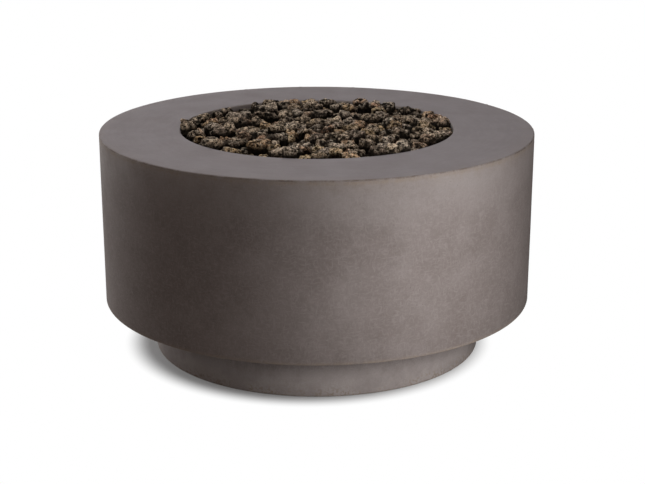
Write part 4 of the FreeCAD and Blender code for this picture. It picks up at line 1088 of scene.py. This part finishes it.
def rubble_tree():
    """Scatters small angular bits over the bed."""
    graph, given, result = mesh_group(
        "lava_rubble", "Bed", ("Seed",), ("Rubble gap", "Rubble size"), "Rubble")
    seed = given["Seed"]
    points = graph.first("GeometryNodeDistributePointsOnFaces", {
        "Mesh": given["Bed"],
        "Distance Min": given["Rubble gap"],
        "Density Max": RUBBLE_DENSITY,
        "Seed": seed,
    }, distribute_method="POISSON")
    bit = graph.first("GeometryNodeMeshIcoSphere", {"Radius": given["Rubble size"], "Subdivisions": 1})
    turn = graph.vector_draw(seed, (0.0, 0.0, 0.0), RUBBLE_TURN)
    stretch = graph.vector_draw(seed, RUBBLE_LEAST, RUBBLE_MOST)
    bits = graph.first("GeometryNodeInstanceOnPoints", {
        "Points": points, "Instance": bit, "Rotation": turn, "Scale": stretch})
    real = graph.first("GeometryNodeRealizeInstances", {"Geometry": bits})
    dents = graph.between(graph.noise(graph.place(), DENT_SIZE), -DENT_DEPTH, DENT_DEPTH)
    tinted = graph.marked(graph.swollen(real, dents), "tint", graph.island_draw(seed))
    graph.finish(tinted, given["Material"], result)
    return graph.tree


class SpreadRubble(bpy.types.Operator):
    """Spread small bits of lava between the stones, over the fill that is painted near black as shade"""

    bl_idname = "firebowl.spread_rubble"
    bl_label = "Spread the rubble"

    def execute(self, context):
        look = context.scene.bowl_lava
        surface = bmesh.new()
        radius = BED_RADIUS - look.rubble_size
        bmesh.ops.create_circle(surface, cap_ends=True, segments=BED_SIDES, radius=radius)
        bmesh.ops.translate(surface, verts=surface.verts, vec=(0, 0, BED_TOP + look.rubble_size))
        rubble = grown_mesh("lava_rubble", mesh_from("bed", surface), rubble_tree(), {
            **settings_of(look, ("Rubble gap", "Rubble size", "Seed")),
            # The rubble has no crown mark, so the stones' painted shade on lower sides covers all of it and
            # it comes out near black
            "Material": bpy.data.materials["lava_stone"],
        })
        settle(rubble, "bowl", "lava_rock")
        paint("lava_fill", dull_material("lava_shade", *BURIED_LAVA_SHADE))
        return {"FINISHED"}


# Stage
WHITE = (1.0, 1.0, 1.0, 1.0)
FLOOR_HALF = 14.0
# Middle of the shadow, and the distances from it between which the floor turns white
SHADOW_MIDDLE = (-0.022, 0.0, 0.0)
SHADOW_REACH = (0.402, 0.474)
# Places in metres, sizes across and along, powers in watts and the angle that the key light keeps to
RIM_MIDDLE = (0, 0, RIM_TOP)
BOWL_MIDDLE = (0, 0, RIM_TOP / 2)
RIGHT_SIDE = (0.514, -0.143, RIM_TOP / 2)
LIGHTS = {
    "back_light": {"place": (-0.2, 4.3, 4.0), "target": RIM_MIDDLE, "size": (0.9, 0.9), "power": 92.0},
    "top_light": {"place": (-0.36, -0.55, 2.5), "target": RIM_MIDDLE, "size": (0.4, 0.4), "power": 20.0},
    "key_light": {"place": (0.443, -1.560, 0.56), "target": RIGHT_SIDE, "size": (0.35, 0.55), "power": 3.14,
                  "spread": 1.2},
    "edge_light": {"place": (-2.15, 1.24, 0.7), "target": BOWL_MIDDLE, "size": (0.7, 1.6), "power": 24.0},
}


def white_rays(graph):
    """1 for rays that should meet a white studio: from the camera, off gloss or through glass."""
    path = graph.add("ShaderNodeLightPath").outputs
    seen = graph.math("MAXIMUM", path["Is Camera Ray"], path["Is Glossy Ray"])
    return graph.math("MAXIMUM", seen, path["Is Transmission Ray"])


def mix_shaders(graph, share, shader, other):
    return graph.first("ShaderNodeMixShader", {0: share, 1: shader, 2: other})


def floor_material(look):
    """A pale floor that looks white but for the bowl's shadow, and is clear from below."""
    material = bpy.data.materials.new("studio_floor")
    graph = empty_graph(material)
    place = graph.add("ShaderNodeTexCoord").outputs["Object"]
    reach = graph.length(graph.vector("SUBTRACT", place, SHADOW_MIDDLE))
    lit = graph.first("ShaderNodeBsdfDiffuse", {"Color": rgba(look.floor)})
    lift = graph.first("ShaderNodeEmission", {"Color": WHITE, "Strength": look.shadow_lift})
    near = graph.first("ShaderNodeAddShader", {0: lit, 1: lift})
    white = graph.first("ShaderNodeEmission", {"Color": WHITE, "Strength": 1.0})
    shown = mix_shaders(graph, graph.fade(reach, *SHADOW_REACH), near, white)
    bounce = graph.first("ShaderNodeBsdfDiffuse", {"Color": rgba(look.bounce)})
    above = mix_shaders(graph, white_rays(graph), bounce, shown)
    below = graph.add("ShaderNodeNewGeometry").outputs["Backfacing"]
    clear = graph.first("ShaderNodeBsdfTransparent")
    graph.add("ShaderNodeOutputMaterial", {"Surface": mix_shaders(graph, below, above, clear)})
    return material


def white_world(look):
    """A world that looks white and lights the bowl with a low warm ambient."""
    world = bpy.data.worlds.new("studio")
    graph = empty_graph(world)
    ambient = graph.first("ShaderNodeBackground", {"Color": rgba(look.ambient), "Strength": 1.0})
    white = graph.first("ShaderNodeBackground", {"Color": WHITE, "Strength": 1.0})
    graph.add("ShaderNodeOutputWorld", {"Surface": mix_shaders(graph, white_rays(graph), ambient, white)})
    return world


def soft_light(name, place, target, size, power, spread=math.pi):
    lamp = bpy.data.lights.new(name, "AREA")
    lamp.shape = "RECTANGLE"
    lamp.size, lamp.size_y = size
    lamp.energy = power
    lamp.spread = spread
    item = new_object(name, lamp)
    item.location = place
    item.rotation_euler = (Vector(target) - Vector(place)).to_track_quat("-Z", "Y").to_euler()
    item.visible_camera = False


class SetStage(bpy.types.Operator):
    """Set the white floor, the soft lights and the camera"""

    bl_idname = "firebowl.set_stage"
    bl_label = "Set the stage"

    def execute(self, context):
        look = context.scene.bowl_stage
        surface = bmesh.new()
        bmesh.ops.create_grid(surface, size=FLOOR_HALF)
        mesh = mesh_from("studio_floor", surface)
        mesh.materials.append(floor_material(look))
        new_object("studio_floor", mesh)
        context.scene.world = white_world(look)
        for name, values in LIGHTS.items():
            soft_light(name, **values)
        lens = bpy.data.cameras.new("camera")
        lens.sensor_fit = "HORIZONTAL"
        lens.lens = look.lens
        camera = new_object("camera", lens)
        camera.location = (0, -look.distance, look.height)
        camera.rotation_euler = (math.pi / 2 - look.tilt, 0, -look.turn)
        context.scene.camera = camera
        context.scene.view_settings.view_transform = "Standard"
        return {"FINISHED"}


# Panel and steps
OPERATORS = (CastDrum, FinishPlinth, LayStones, SpreadRubble, FinishMetalwork, FinishSeals, SetStage)


class BowlPanel(bpy.types.Panel):
    """Settings of the fire bowl and the steps that build its looks"""

    bl_idname = "VIEW3D_PT_fire_bowl"
    bl_label = "Fire bowl"
    bl_space_type = "VIEW_3D"
    bl_region_type = "UI"
    bl_category = "Fire bowl"

    def draw(self, context):
        for name, group in SETTINGS.items():
            box = self.layout.box()
            box.label(text=group.__doc__)
            for setting in group.__annotations__:
                box.prop(getattr(context.scene, name), setting)
        for operator in OPERATORS:
            self.layout.operator(operator.bl_idname)


def register():
    for group in (*SETTINGS.values(), *OPERATORS, BowlPanel):
        bpy.utils.register_class(group)
    for name, group in SETTINGS.items():
        setattr(bpy.types.Scene, name, PointerProperty(type=group))


def unregister():
    for name in SETTINGS:
        delattr(bpy.types.Scene, name)
    for group in (BowlPanel, *reversed(OPERATORS), *reversed(SETTINGS.values())):
        bpy.utils.unregister_class(group)


def main():
    register()
    bpy.ops.firebowl.cast_drum()
    bpy.ops.firebowl.finish_plinth()
    bpy.ops.firebowl.lay_stones()
    bpy.ops.firebowl.spread_rubble()
    bpy.ops.firebowl.finish_metalwork()
    bpy.ops.firebowl.finish_seals()
    bpy.ops.firebowl.set_stage()


if __name__ == "__main__":
    main()
